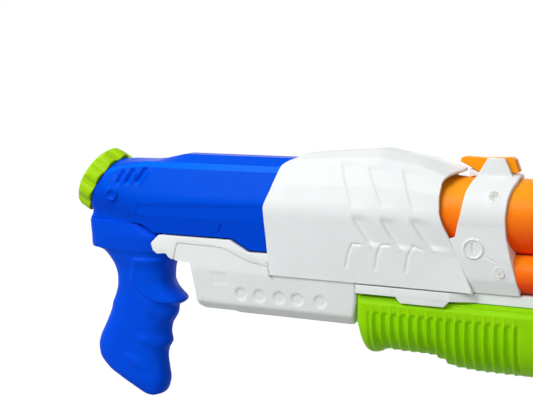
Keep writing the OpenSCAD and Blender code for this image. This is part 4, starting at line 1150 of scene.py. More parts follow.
@dataclass
class Grip:
    """Pistol grip in two screwed halves, with a hooked finger rest and finger hollows."""

    top_z: float = -22.2
    length: float = 161.0
    wall: float = 3.0
    columns: int = 190
    screws: tuple = ((-142.0, -38.0, 14.0), (-133.0, -105.0, 8.0), (-143.0, -158.2, 8.0))
    screw_over: float = 4.0
    boss_drop: float = 1.2
    # Depth, rear end, front end, half width and roundness of each level.
    rows: tuple = (
        (0, -178.3, -119, 29, 4), (8, -178.3, -107.3, 29, 4), (13, -178.3, -99, 28.7, 4),
        (22.5, -178.8, -99.5, 26.7, 4),
        (24.9, -178.7, -99.6, 26.1, 3.8), (25.6, -174.5, -99.7, 25.9, 3.6), (28, -170.2, -100, 24.85, 3),
        (31, -166.8, -100.8, 23.8, 2.9), (36, -163.5, -102.5, 22.4, 2.7),
        (44, -159.5, -105, 19.95, 2.6), (53, -157.5, -105.5, 18.7, 2.6), (61, -158, -102, 17.85, 2.6),
        (67, -159.8, -95.5, 17.5, 2.5), (71.5, -161.3, -91, 17.5, 2.5), (74.5, -162.5, -93.5, 17.5, 2.5),
        (78, -163.8, -99.5, 17.5, 2.6), (85, -165.5, -100.5, 17.5, 2.6), (97, -170.5, -106.5, 17.5, 2.6),
        (105, -174.5, -107.5, 17.5, 2.6), (112, -178, -106.5, 17.5, 2.6), (121, -180, -110.5, 17.5, 2.6),
        (129, -179, -111.5, 17.5, 2.6), (140, -170.5, -110.5, 17.5, 2.6), (148, -157.5, -109.5, 17, 2.5),
        (155, -144, -110.7, 15.4, 2.4), (161, -132.5, -113.5, 12.6, 2.2), (163, -127, -118, 8.75, 2))

    def levels(self) -> Array:
        """Rings at many depths, each half of a superellipse.

        Its ends, its width and its roundness follow smooth tables of the depth.

        Returns:
            Points, shape (rings, points, 3).
        """
        table = np.asarray(self.rows, float).T
        deep = table[0, -1]
        depth = np.unique(np.concatenate([
            np.linspace(0, deep, 150), np.linspace(24, 27, 25), np.linspace(deep - 13, deep, 26)]))
        back, front, half, power = (smooth_table(depth, table[0], table[k])[:, None] for k in (1, 2, 3, 4))
        u = np.linspace(0, 1, self.columns)
        t = np.pi * (u - 0.9 * np.sin(2 * np.pi * u) / (2 * np.pi))
        x = (back + front) / 2 - (front - back) / 2 * np.sign(np.cos(t)) * np.abs(np.cos(t)) ** (2 / power)
        y = half * np.abs(np.sin(t)) ** (2 / power)
        y[:, [0, -1]] = 0
        z = np.broadcast_to(self.top_z - depth[:, None] * self.length / deep, x.shape)
        return np.stack([x, y, z], -1)

    def details(self) -> list[Relief]:
        """Raised field over the finger rest, three raised creases and the hollows between the fingers.

        Returns:
            The details of one side, the raised field first.
        """
        raised = [[-131, -54.5], [-80, -54], [-80, -96], [-112, -94], [-131, -84], [-137.5, -77]]
        lines = [[[-136.5, -82], [-128, -95.7], [-119.5, -110.5]], [[-136.5, -122], [-127.6, -138.2]],
                 [[-150, -141], [-133.3, -161]]]
        return [Plateau(raised, lift=2.0, edge=2.4),
                *[Step(line, width=20.0, drop=-2.4, ramp=3.6, fade=9.0) for line in lines],
                Scoop(-104.5, -122, 7, 6.5, lift=-1.3), Scoop(-106, -146, 7, 6.5, lift=-1.2)]

    def half(self, side: Side) -> Form:
        """One half: outer skin with its details, wall, and on the left the screw bosses.

        Args:
            side: which half.

        Returns:
            The half, drawn on the left.
        """
        ring = self.levels()

        def lid(edge: Array) -> Array:
            """Loops that draw an end ring in to its middle."""
            middle = np.array([edge[:, 0].mean(), 0, edge[0, 2]])
            return np.stack([middle + (edge - middle) * f for f in (0.0, 0.5, 0.96)])

        grid = add_edge_lines(np.concatenate([lid(ring[0]), ring, lid(ring[-1])[::-1]]), 1)
        normal = outward_normals(grid, 60)
        normal[:3], normal[-3:] = (0, 0, 1), (0, 0, -1)
        x, y, z = np.moveaxis(grid, -1, 0)
        raised, *marks = self.details()
        aside = np.abs(normal[..., 1])
        lift = total_relief([raised], x, z) * ease((y - 1) / 13) * ease(aside / 0.95)
        lift += total_relief(marks, x, z) * ease((y - 3) / 4) * ease(aside / 0.7)
        lift -= edge_drop(grid, 1, Border.BOTH, PARTING)
        lift[:3], lift[-3:] = 0, 0
        outer, inner = skins(grid, normal, lift, self.wall)
        for skin in (outer, inner):
            skin[:, [0, -1], 1] = 0
        rims = boss_rims(grid, self.screws, self.screw_over, self.boss_drop)
        return screwed_half(side, (outer, inner), self.screws, self.screw_over, rims)

    def build(self) -> None:
        """Makes both halves."""
        both_halves({side: self.half(side) for side in Side}, "grip", GRIP_BLUE, Body.HOUSING)


@dataclass
class LowerFrame:
    """White frame under the tank in two screwed halves: a dimpled box and a raised rail with a nose."""

    half_w: float = 31.0
    floor: float = -93.896
    wall: float = 2.5
    proud: float = 31.9
    rail_root: float = 29.4
    dimples: tuple = (-23.0, -6.0, 12.0, 28.0, 48.0)
    screws: tuple = ((-84.0, -39.0, 16.0), (-50.0, -80.0, 14.0), (-30.0, -50.0, 16.0))
    screw_over: float = 15.0
    boss_rim: float = 27.5
    hole_r: float = 12.4
    rear: tuple = ((-98.5, -30.2), (-98.5, -45.7), (-93, -46.2), (-91, -49), (-85, -51.9), (-71, -52.3),
                   (-68, -74), (-66, -89.9), (-62, -92.4))
    rail: tuple = ((-108, -38), (-100, -30.2), (-32.1, -30.2), (-15.1, -39.2), (3.7, -39.2), (4.7, -50),
                   (-15, -47), (-39, -37), (-82, -36), (-86, -51.5), (-91, -49), (-93, -46), (-102, -47),
                   (-106, -44))

    def tub(self) -> Array:
        """Rings from the open top down the rear outline, then across the floor to the mid plane.

        Each ring is half of a rounded rectangle: across the rear wall, along the side and across the front
        wall, which ends at the hole for the cylinder. Heights are held between the frame's top line and its
        floor.

        Returns:
            Points, shape (rings, points, 3).
        """
        path = rounded_chain(np.asarray(self.rear, float), [1.0] * (len(self.rear) - 2), 1.3, 3)
        z = path[:, 1]
        level = np.concatenate([z, np.linspace(-92.7, self.floor, 4)])
        back = np.concatenate([path[:, 0], np.linspace(-61, -60, 4)])
        front = soft_table(level, [self.floor, self.floor + 6, -72, 0], [74, 76, 79, 79], soft=0.8)
        half = soft_table(level, [self.floor - 3, self.floor, self.floor + 8, DECK, 0],
                          [14, 20, 27, self.half_w, self.half_w], soft=1.6)
        hole = np.sqrt(np.maximum(self.hole_r ** 2 - (level - PUMP_AXIS) ** 2, 0))
        corners = corner_table((back, 0), (back, half), (front, half), (front, hole))
        plan = rounded_chain(corners, [4.0, 3.0], 1.1)
        top = np.interp(plan[..., 0], [-32.1, -15.1, 3.1, 4.8], [-30.2, -39.2, -39.2, DECK - 0.8])
        low = np.interp(plan[..., 0], [-31, -28], [self.floor + 1.5, self.floor])
        height = np.clip(np.broadcast_to(level[:, None], top.shape), low, top)
        grid = np.concatenate([plan, height[..., None]], -1)
        under = np.stack([grid[-1] * (1, f, 1) for f in (0.95, 0.85, 0.6, 0.3, 0.0)])
        return np.concatenate([grid, under])

    def details(self) -> list[Relief]:
        """Round dimples, the square recess and two short marks by the rear corner.

        Returns:
            The details of one side.
        """
        square = [[-50, -69], [-35, -69], [-35, -59], [-50, -59]]
        marks = [[[x, -84], [x, -90]] for x in (-60, -52)]
        return [*[Button(x, -76, radius=5.0, lift=-1.1, edge=2.4) for x in self.dimples],
                Plateau(square, lift=-0.4, edge=1.8), *[Crease(mark, width=2.0, lift=-0.5) for mark in marks]]

    def half(self, side: Side) -> Form:
        """One half: the tub, the raised rail and on the left the screw bosses.

        Args:
            side: which half.

        Returns:
            The half, drawn on the left.
        """
        grid = add_edge_lines(self.tub(), 1)
        normal = outward_normals(grid, 30)
        x, y, z = np.moveaxis(grid, -1, 0)
        on_side = ease((y - 18) / 4) * ease((np.abs(normal[..., 1]) - 0.6) / 0.2)
        lift = total_relief(self.details(), x, z) * on_side - edge_drop(grid, 1, Border.BOTH, PARTING)
        outer, inner = skins(grid, normal, lift, self.wall)
        for skin in (outer, inner):
            skin[:, [0, -1], 1] = grid[:, [0, -1], 1]
            skin[-1, :, 1] = 0
        corner = [2.2] * 4 + [0.3] * 2 + [2.2] * 8
        rail = plate(self.rail, self.rail_root, self.proud, corner, edge=0.85)
        rims = [self.boss_rim] * len(self.screws)
        return screwed_half(side, (outer, inner), self.screws, self.screw_over, rims, [rail])

    def build(self) -> None:
        """Makes both halves."""
        both_halves({side: self.half(side) for side in Side}, "frame", FRAME_WHITE, Body.HOUSING)


@dataclass
class BodyShell:
    """White body shell in two screwed halves, with a crested roof, swept ends and three gills a side."""

    top: float = 49.0
    half_w: float = 37.0
    wall: float = 2.5
    length: float = 173.0
    front_r: float = 33.4
    foot_y: float = 32.5
    end_edge: float = 0.35
    foot_edge: float = 0.6
    screws: tuple = ((60.0, 28.0, 16.0), (66.0, -46.0, 16.0), (133.0, -43.5, 16.0))
    screw_over: float = 15.0
    boss_drop: float = 1.0

    def table(self) -> tuple[Array, Array]:
        """Sections at close stations: a faceted half arch whose corner places follow tables along the shell.

        Returns:
            The stations, and their sections of shape (stations, points, 2).
        """
        f, t, w = self.front_r, self.top, self.half_w
        x = np.linspace(-8, 182, 381)
        knots = [-6, 48, 95, self.length - 45, self.length - 9, self.length + 20]
        places = [
            [10, 9, 8, 9, 10, 10], [t - 10, t - 4, t, t - 5.5, f, f],
            [23, 23, 23, 22, 0.72 * f + 0.2, 0.72 * f + 0.2],
            [t - 14, t - 8.6, t - 6, t - 11, 0.77 * f, 0.77 * f], [30.5, 31, 31, 30.5, 0.93 * f, 0.93 * f],
            [18, 20, 21, 19, 0.43 * f, 0.43 * f], [w - 1, w, w, w - 1, f + 0.4, f + 0.4]]
        flat, roof, edge_y, edge_z, mid_y, mid_z, wide = (soft_table(x, knots, p, soft=1.5) for p in places)
        corners = corner_table((0, roof), (flat, roof), (edge_y, edge_z), (mid_y, mid_z), (wide, 0),
                               (wide - 2.5, -30), (self.foot_y, DECK))
        return x, rounded_chain(corners, [7, 4, 14, 40, 20], step=1.1)

    def outline(self, z: Array) -> tuple[Array, Array]:
        """Places of the slanted rear edge and the swept front edge, read from tables of the height.

        Args:
            z: heights in the side view.

        Returns:
            The rear and the front places.
        """
        t, n = self.top, self.length
        rear_z = [DECK, -39, 1, 14, 29, t - 15, t - 11, t - 7, 70]
        rear_x = [5, 3.3, 0, 5, 10, 12, 18, 27, 25]
        front_z = [DECK, -15, -6, 3, 16, 27, 33, 36, 70]
        front_x = [n, n - 19.5, n - 24, n - 27, n - 28, n - 27, n - 22, n - 11, n - 11]
        return soft_table(z, rear_z, rear_x, soft=1.2), soft_table(z, front_z, front_x, soft=1.5)

    def sheet(self) -> Array:
        """The trimmed arch: each line of the section runs from the rear edge to the front edge.

        The ends of a line solve x = outline(height at x) by repeated substitution.

        Returns:
            Points, shape (stations, lines, 3).
        """
        x, section = self.table()
        cols = np.arange(section.shape[1])

        def at(place: Array) -> Array:
            """Section points of every line at its own places, read between stations.

            Args:
                place: places along the shell, one for each line.

            Returns:
                Points of y and z.
            """
            k = np.clip(((place - x[0]) / (x[1] - x[0])), 0, len(x) - 1.001)
            low, part = k.astype(int), (k % 1)[..., None]
            return section[low, cols] * (1 - part) + section[low + 1, cols] * part

        start, stop = np.full(len(cols), 5.0), np.full(len(cols), 160.0)
        for _ in range(12):
            start = 0.5 * start + 0.5 * self.outline(at(start)[:, 1])[0]
            stop = 0.5 * stop + 0.5 * self.outline(at(stop)[:, 1])[1]
        u = np.linspace(0, 1, 165)[:, None]
        place = start + (stop - start) * u
        return np.concatenate([place[..., None], at(place)], -1)

    def details(self) -> list[Relief]:
        """Three gills: each an upper line, an overlapping slash with a raised lip, and a hooked groove below.

        Returns:
            The details of one side.
        """
        uppers = [[[62.3, 41], [66.4, 28.4], [71.7, 14.7], [76.5, 3]],
                  [[85, 38], [89.5, 28.4], [96.3, 14], [101, 4]],
                  [[113, 36], [116.8, 24.8], [121.9, 10.5], [126, 3]]]
        slashes = [[[74.9, -1], [83.3, -14.1], [92.2, -26.5]], [[98, -1.5], [107.7, -17.3], [115.9, -27.5]],
                   [[121.9, -1], [132.5, -16.6], [142.5, -26.5]]]
        hooks = [[[84, -25.2], [77.5, -24.9], [74.2, -31.9], [71.7, -44]],
                 [[107.4, -24], [101, -24.4], [97.9, -32.1], [96.2, -44]],
                 [[133.3, -26], [126.5, -23.6], [122.5, -31.2], [120.3, -44.5]]]
        made: list[Relief] = []
        for upper, slash, hook in zip(uppers, slashes, hooks):
            made += [Step(upper, width=20.0, drop=0.65, ramp=1.6),
                     Step(slash, width=21.0, drop=1.9, ramp=2.0), Crease(slash, width=3.0, lift=0.5),
                     Crease(hook, width=2.8, lift=-0.9)]
        return made

    def half(self, side: Side) -> Form:
        """One half: the sheet with its gills and turned edges, and on the left the screw bosses.

        Args:
            side: which half.

        Returns:
            The half, drawn on the left.
        """
        grid = add_edge_lines(add_edge_lines(self.sheet(), 0), 1)
        normal = outward_normals(grid, 80)
        x, y, z = np.moveaxis(grid, -1, 0)
        lift = total_relief(self.details(), x, z) * ease((y - 22) / 4)
        lift -= edge_drop(grid, 0, Border.BOTH, self.end_edge) + edge_drop(grid, 1, Border.FIRST, PARTING)
        lift -= edge_drop(grid, 1, Border.LAST, self.foot_edge)
        outer, inner = skins(grid, normal, lift, self.wall)
        for skin in (outer, inner):
            skin[..., 1] = np.minimum(skin[..., 1], self.half_w)
            skin[:, 0, 1] = 0
            skin[..., 2] = np.maximum(skin[..., 2], DECK)
        rims = boss_rims(grid, self.screws, self.screw_over, self.boss_drop)
        return screwed_half(side, (outer, inner), self.screws, self.screw_over, rims)

    def build(self) -> None:
        """Makes both halves."""
        both_halves({side: self.half(side) for side in Side}, "shell", SHELL_WHITE, Body.HOUSING)


def ray_exit(way: Array, centre: Sequence[float], radius: float) -> Array:
    """Distance at which rays from the hub leave a circle, or 0 where they miss it.

    The ray's point of closest approach lies way . (centre - hub) along it. Half the chord is added to that.

    Args:
        way: unit directions of the rays, shape (rays, 2).
        centre: middle of the circle.
        radius: its radius.

    Returns:
        The distance along each ray.
    """
    to = np.asarray(centre, float) - HUB
    mid = way @ to
    chord = radius ** 2 - (to @ to - mid ** 2)
    return np.where(chord > 0, mid + np.sqrt(np.maximum(chord, 0)), 0.0)


def bundle_reach(way: Array, barrel_r: float, tube_r: float) -> Array:
    """Distance from the hub to the furthest of three circles, one on the barrel's axis and two on the tubes'.

    Args:
        way: unit directions from the hub, shape (rays, 2).
        barrel_r: radius of the circle on the barrel's axis.
        tube_r: radius of the circles on the tubes' axes.

    Returns:
        The distance along each direction.
    """
    reach = ray_exit(way, (0, 0), barrel_r)
    for side in Side:
        reach = np.maximum(reach, ray_exit(way, (side.value * TUBE_Y, TUBE_Z), tube_r))
    return reach


@dataclass
class Band:
    """White band round the barrel in two halves, with ears for the sight and a raised ring on each side."""

    radius: float = 32.7
    foot: float = DECK + 0.2
    rear: float = 166.0
    rear_edge: float = 0.3
    front_edge: float = 0.8
    pad_root: float = 29.0
    pad: float = 33.2
    rest_root: float = 30.3
    ear: float = 4.0
    ear_high: float = 11.5
    gap: float = 0.2
    seam: float = 0.02
    screws: tuple = ((186.0, 18.0), (193.0, -40.0))
    screw_bore: float = 3.2
    screw_over: float = 14.0
    skirt_seat: float = 30.2

    def section(self) -> Array:
        """Outer half section: a circle from the crown to the waist, then a tapering skirt to the deck.

        Returns:
            Points, shape (points, 2).
        """
        a = np.radians(np.linspace(90, -9, 60))
        arc = self.radius * np.stack([np.cos(a), np.sin(a)], -1)
        skirt = rounded_chain(np.array([arc[-1], [31.7, -30], [30.2, -46], [26.7, self.foot]]), [20, 12], 0.9)
        return np.concatenate([arc, skirt[1:]])

    def details(self) -> list[Relief]:
        """Raised ring with a slot, the line that leads forward from it, and rings round the screws.

        Returns:
            The details of one side.
        """
        upper, lower = self.screws
        slot, lead = [[171.9, -19], [172.4, -25.5]], [[179.5, -27.5], [190, -31.5]]
        return [Hoop(172.4, -22.3, radius=7.2, width=2.2, lift=1.2), Crease(slot, width=2.2, lift=-1.2),
                Crease(lead, width=1.8, lift=-0.4), Hoop(*upper, radius=4.6, width=1.6, lift=0.4),
                Hoop(*lower, radius=5.0, width=1.8, lift=0.5)]

    def ring(self) -> Form:
        """A wall between the outer section and the bores that hold the barrel and a tube, with screw seats.

        Each point of the section has its inner point on the line to the hub, where it leaves the bores.

        Returns:
            The wall of the left half.
        """
        cut = self.section()
        z = cut[:, 1]
        start = self.rear + soft_table(z, [DECK, -50, -48.5, -15, -14.8, -6, 4, 20, 28, 33, 70],
                                       [-4, -4, 2.9, -12.65, -7.9, -6.4, -4, -1.8, 1.5, 4.5, 5], soft=0.5)
        stop = BAND_FRONT + soft_table(z, [DECK, -29, -12, 2, 16, 24, 30, 70],
                                       [12, 5, 1, 0, 0.8, 2.6, 6, 6], soft=2.0)
        way = cut - HUB
        far = np.linalg.norm(way, axis=-1)
        way = way / far[:, None]
        core = HUB + way * np.minimum(bundle_reach(way, BARREL_HOLD, TUBE_HOLD), far - 0.5)[:, None]
        place = start + (stop - start) * np.linspace(0, 1, 48)[:, None]
        grid, inner = (add_edge_lines(np.stack(np.broadcast_arrays(place, *line.T), -1), 0)
                       for line in (cut, core))
        normal = outward_normals(grid, 24)
        x, y, z = np.moveaxis(grid, -1, 0)
        lift = total_relief(self.details(), x, z) * ease((y - 14) / 3)
        lift -= edge_drop(grid, 0, Border.FIRST, self.rear_edge)
        lift -= edge_drop(grid, 0, Border.LAST, self.front_edge)
        outer = grid + normal * lift[..., None]
        outer[:, 0, 1] = 0
        outer[..., 2] = np.maximum(outer[..., 2], self.foot)
        bores = [Bore(*screw, self.screw_bore, self.screw_over) for screw in self.screws]
        form = Form().add_wall(outer, inner, bores)
        for screw_x, screw_z in self.screws:
            seat = math.sqrt(self.radius ** 2 - screw_z ** 2) - 1.5 if screw_z > 0 else self.skirt_seat
            form.add_ring(screw_cup(screw_x, screw_z, seat, seat + 0.7, inner=1.6, bore=self.screw_bore,
                                    outer=3.6, root=seat - 1.0))
        return form

    def half(self) -> Form:
        """The left half: the ring wall, and on top of it the pad, an ear and the rest for the sight.

        Returns:
            The half, drawn on the left.
        """
        s, p, first, last = SIGHT_REAR, self.pad, self.rear, BAND_FRONT
        clear = SIGHT_HALF + self.gap
        wide = clear + self.ear
        pad = [[s, self.seam], [last, self.seam], [last, wide], [s, wide]]
        ear = [[s, p - 1], [s + 7, p + self.ear_high], [s + 20, p + self.ear_high], [last, p - 1]]
        rest = [[first - 3.5, self.rest_root], [first - 3.5, p + 2.6], [s - 0.6, p], [s + 1, p],
                [s + 1, self.rest_root]]
        form = self.ring().add_bar(plate(pad, self.pad_root, p, corner=0.6, edge=0.5, view=View.PLAN))
        form.add_bar(plate(ear, clear, wide, corner=1.6, edge=0.7))
        return form.add_bar(plate(rest, self.seam, SIGHT_HALF, corner=0.4, edge=0.4))

    def build(self) -> None:
        """Makes both halves."""
        both_halves(dict.fromkeys(Side, self.half()), "band", SHELL_WHITE, Body.HOUSING)


@dataclass
class Sight:
    """Orange sight between the band's ears."""

    z: float = 33.4

    def build(self) -> None:
        """Makes the sight as a plate with soft edges."""
        x, z, f = SIGHT_REAR, self.z, BAND_FRONT
        line = [[x - 15, z + 7.5], [x - 14.5, z + 10.5], [x - 11, z + 11.5], [x + 3, z + 11],
                [x + 24, z + 12], [x + 27, z + 10], [f + 5, z + 0.5], [f - 0.5, z], [x, z], [x - 9, z + 4.5]]
        Form().add_bar(plate(line, -SIGHT_HALF, SIGHT_HALF, corner=1.2, edge=0.9)).piece(
            "sight_moulding", SIGHT_ORANGE, Body.HOUSING, ["sight"])


@dataclass
class Barrel:
    """Orange main barrel and the pair of lower tubes."""

    radius: float = 29.5
    wall: float = 2.5
    rear: float = 100.0
    front: float = 359.0
    tube_rear: float = 179.5
    tube_wall: float = 2.0
    edge: float = 0.8
    edge_cut: float = 0.25

    def pipe(self, rear: float, front: float, radius: float, wall: float) -> Array:
        """Profile of a pipe with rounded outer edges, cut into steps along its length.

        Args:
            rear: place of its rear end.
            front: place of its front end.
            radius: its outer radius.
            wall: its thickness.

        Returns:
            Points of x and radius, shape (points, 2).
        """
        bore, edge, cut = radius - wall, radius - self.edge, radius - self.edge_cut
        x = np.linspace(rear + self.edge, front - self.edge, 60)
        outer = np.stack([x, np.full_like(x, radius)], -1)
        return np.concatenate([[[rear, bore], [rear, edge], [rear + self.edge_cut, cut]], outer,
                               [[front - self.edge_cut, cut], [front, edge], [front, bore]]])

    def build(self) -> None:
        """Makes the barrel and the tubes."""
        main = lathe_x(self.pipe(self.rear, self.front, self.radius, self.wall), 0, 0, 128)
        Form().add_ring(main).piece("barrel_moulding", BARREL_ORANGE, Body.HOUSING, ["barrel_tube"])
        lower = self.pipe(self.tube_rear, self.front, TUBE_R, self.tube_wall)
        form = Form()
        for side in Side:
            form.add_ring(lathe_x(lower, side.value * TUBE_Y, TUBE_Z, 80))
        form.piece("lower_tubes_moulding", TUBE_ORANGE, Body.HOUSING, ["lower_tubes"])


@dataclass
class Rail:
    """White deck and guide rail under the barrel, with the tabs that overhang the pump handle."""

    rear: float = 79.3
    front: float = 368.0
    side_w: float = 25.0
    neck_w: float = 19.0
    flange_w: float = 22.0
    hollow_w: float = 16.5
    ledge: float = -65.396
    deck_t: float = 2.5
    lip_t: float = 2.7
    flange_top: float = -69.096
    under_w: float = 32.0
    under_front: float = 176.0
    skirt_low: float = -64.896
    tab: tuple = (112.0, 155.0)
    tab_slant: float = 4.5
    skirt_t: float = 3.0
    tab_low: float = -69.596

    def channel(self) -> list[list[float]]:
        """Corners of the guide rail's section: a deck on two legs, each with a flange at its foot.

        Returns:
            Corners of y and z, all the way round.
        """
        low = self.flange_top - self.lip_t
        half = [[self.side_w, DECK], [self.side_w, self.ledge], [self.neck_w, self.ledge],
                [self.neck_w, self.flange_top], [self.flange_w, self.flange_top], [self.flange_w, low],
                [self.hollow_w, low], [self.hollow_w, DECK - self.deck_t]]
        return half + [[-y, z] for y, z in half[::-1]]

    def build(self) -> None:
        """Makes the channel, the strip under the shell with its skirts, and the two tabs."""
        s, u, rear, front = self.side_w, self.under_w, self.rear, self.under_front
        form = Form().add_bar(plate(self.channel(), rear, self.front, corner=0.5, edge=0.4, view=View.END))
        deck, top, low = s - 1.0, DECK - 0.05, DECK - self.deck_t
        strip = [[-deck, top], [deck, top], [deck, low], [-deck, low]]
        form.add_bar(plate(strip, rear, front, corner=0.6, edge=0.4, view=View.END))
        start, stop = self.tab
        inner, root = u - self.skirt_t, self.skirt_low + 0.45
        skirt = [[rear, inner], [rear, u], [stop, u], [front, s + 0.3], [front, s - 2], [stop, inner]]
        tab = [[start - 0.4, root], [stop + 0.4, root], [stop - self.tab_slant, self.tab_low],
               [start + self.tab_slant, self.tab_low]]
        for side in Side:
            plan = [[x, side.value * y] for x, y in skirt]
            form.add_bar(plate(plan, self.skirt_low, DECK - 1, corner=0.6, edge=0.4, view=View.PLAN))
            form.add_bar(plate(tab, *sorted((side.value * inner, side.value * u)), corner=0.6, edge=0.4))
        form.piece("lower_rail_moulding", FRAME_WHITE, Body.HOUSING, ["lower_rail"])


@dataclass
class Muzzle:
    """White muzzle band that ties the barrel, the tubes and the rail together, and the nozzle plate."""

    rear: float = 333.0
    front: float = 368.0
    seat: float = 359.2
    main_r: float = 31.0
    tube_r: float = 16.0
    plate_rear: float = 366.4
    plate_front: float = 370.4
    edge: float = 1.4
    plate_edge: float = 1.0
    floor: float = DECK + 0.05
    count: int = 240
    waist: float = -12.0

    def outline(self, grow: float) -> tuple[Array, Array]:
        """Directions from the hub and the outline's distance along each.

        The outline is the furthest of the barrel's circle, the tubes' circles, the bridge between the tubes
        and the flanks that join them to the barrel.

        Args:
            grow: how far the outline stands outside its plain size.

        Returns:
            Unit directions, shape (count, 2), and distances.
        """
        a = np.linspace(0, 2 * np.pi, self.count, endpoint=False) + np.pi / 2
        way = np.stack([np.cos(a), np.sin(a)], -1)
        reach = bundle_reach(way, self.main_r + grow, self.tube_r + grow)
        bridge = (TUBE_Z - self.tube_r - grow - HUB[1]) / np.minimum(way[:, 1], -1e-6)
        between = (way[:, 1] < 0) & (np.abs(way[:, 0] * bridge) < TUBE_Y)
        reach = np.where(between, np.maximum(reach, bridge), reach)
        w, v = TUBE_Y + self.tube_r + grow, self.main_r + grow - 2.5
        normal = np.array([self.waist - TUBE_Z, w - v])
        normal /= np.linalg.norm(normal)
        flank = (np.array([w, TUBE_Z]) - HUB) @ normal
        run = flank / np.maximum(np.abs(way[:, 0]) * normal[0] + way[:, 1] * normal[1], 1e-6)
        height = HUB[1] + way[:, 1] * run
        return way, np.where((height < self.waist) & (height > TUBE_Z), np.maximum(reach, run), reach)

    def loop(self, x: float, reach: Array, way: Array, floor: float) -> Array:
        """Points of the section plane at x, at distances along the directions, held above a floor."""
        flat = HUB + way * reach[:, None]
        return np.stack([np.full(len(reach), x), flat[:, 0], np.maximum(flat[:, 1], floor)], -1)

    def rounded(self, x: float, edge: float, reach: Array, way: Array, floor: float) -> list[Array]:
        """Loops of an edge that turns over towards an end at x, along a quarter circle.

        Args:
            x: place of the end.
            edge: radius of the edge, negative where the piece lies ahead of its end.
            reach: distances of the side along the directions.
            way: the directions.
            floor: height above which the loops are held.

        Returns:
            Loops from the side to the end's face.
        """
        turn = np.linspace(0, np.pi / 2, 6)
        return [self.loop(x - edge * (1 - math.sin(t)), reach - abs(edge) * (1 - math.cos(t)), way, floor)
                for t in turn]

    def build(self) -> None:
        """Makes the band as a ring and the plate as a rounded disc."""
        way, out = self.outline(1.5)
        pocket = np.minimum(self.outline(-0.8)[1], out - 2.0)
        core = np.minimum(bundle_reach(way, BARREL_HOLD, TUBE_HOLD), out - 0.6)
        back = self.rounded(self.rear, -self.edge, out, way, self.floor)
        ahead = self.rounded(self.front, self.edge, out, way, self.floor)
        inner = [self.loop(self.front, pocket, way, self.floor + 0.5),
                 self.loop(self.seat, pocket, way, self.floor + 0.5),
                 self.loop(self.seat, core, way, self.floor + 0.3),
                 self.loop(self.rear, core, way, self.floor + 0.3)]
        Form().add_ring(np.stack(back + ahead + inner)).piece(
            "muzzle_band_moulding", SHELL_WHITE, Body.HOUSING, ["muzzle_band"])
        way, face = self.outline(-1.0)
        low = self.floor + 0.8
        rows = [self.loop(self.plate_rear, face, way, low)]
        rows += self.rounded(self.plate_front, self.plate_edge, face, way, low)
        Form().add_bar(np.stack(rows)).piece(
            "nozzle_plate_moulding", BARREL_ORANGE, Body.HOUSING, ["nozzle_plate"])


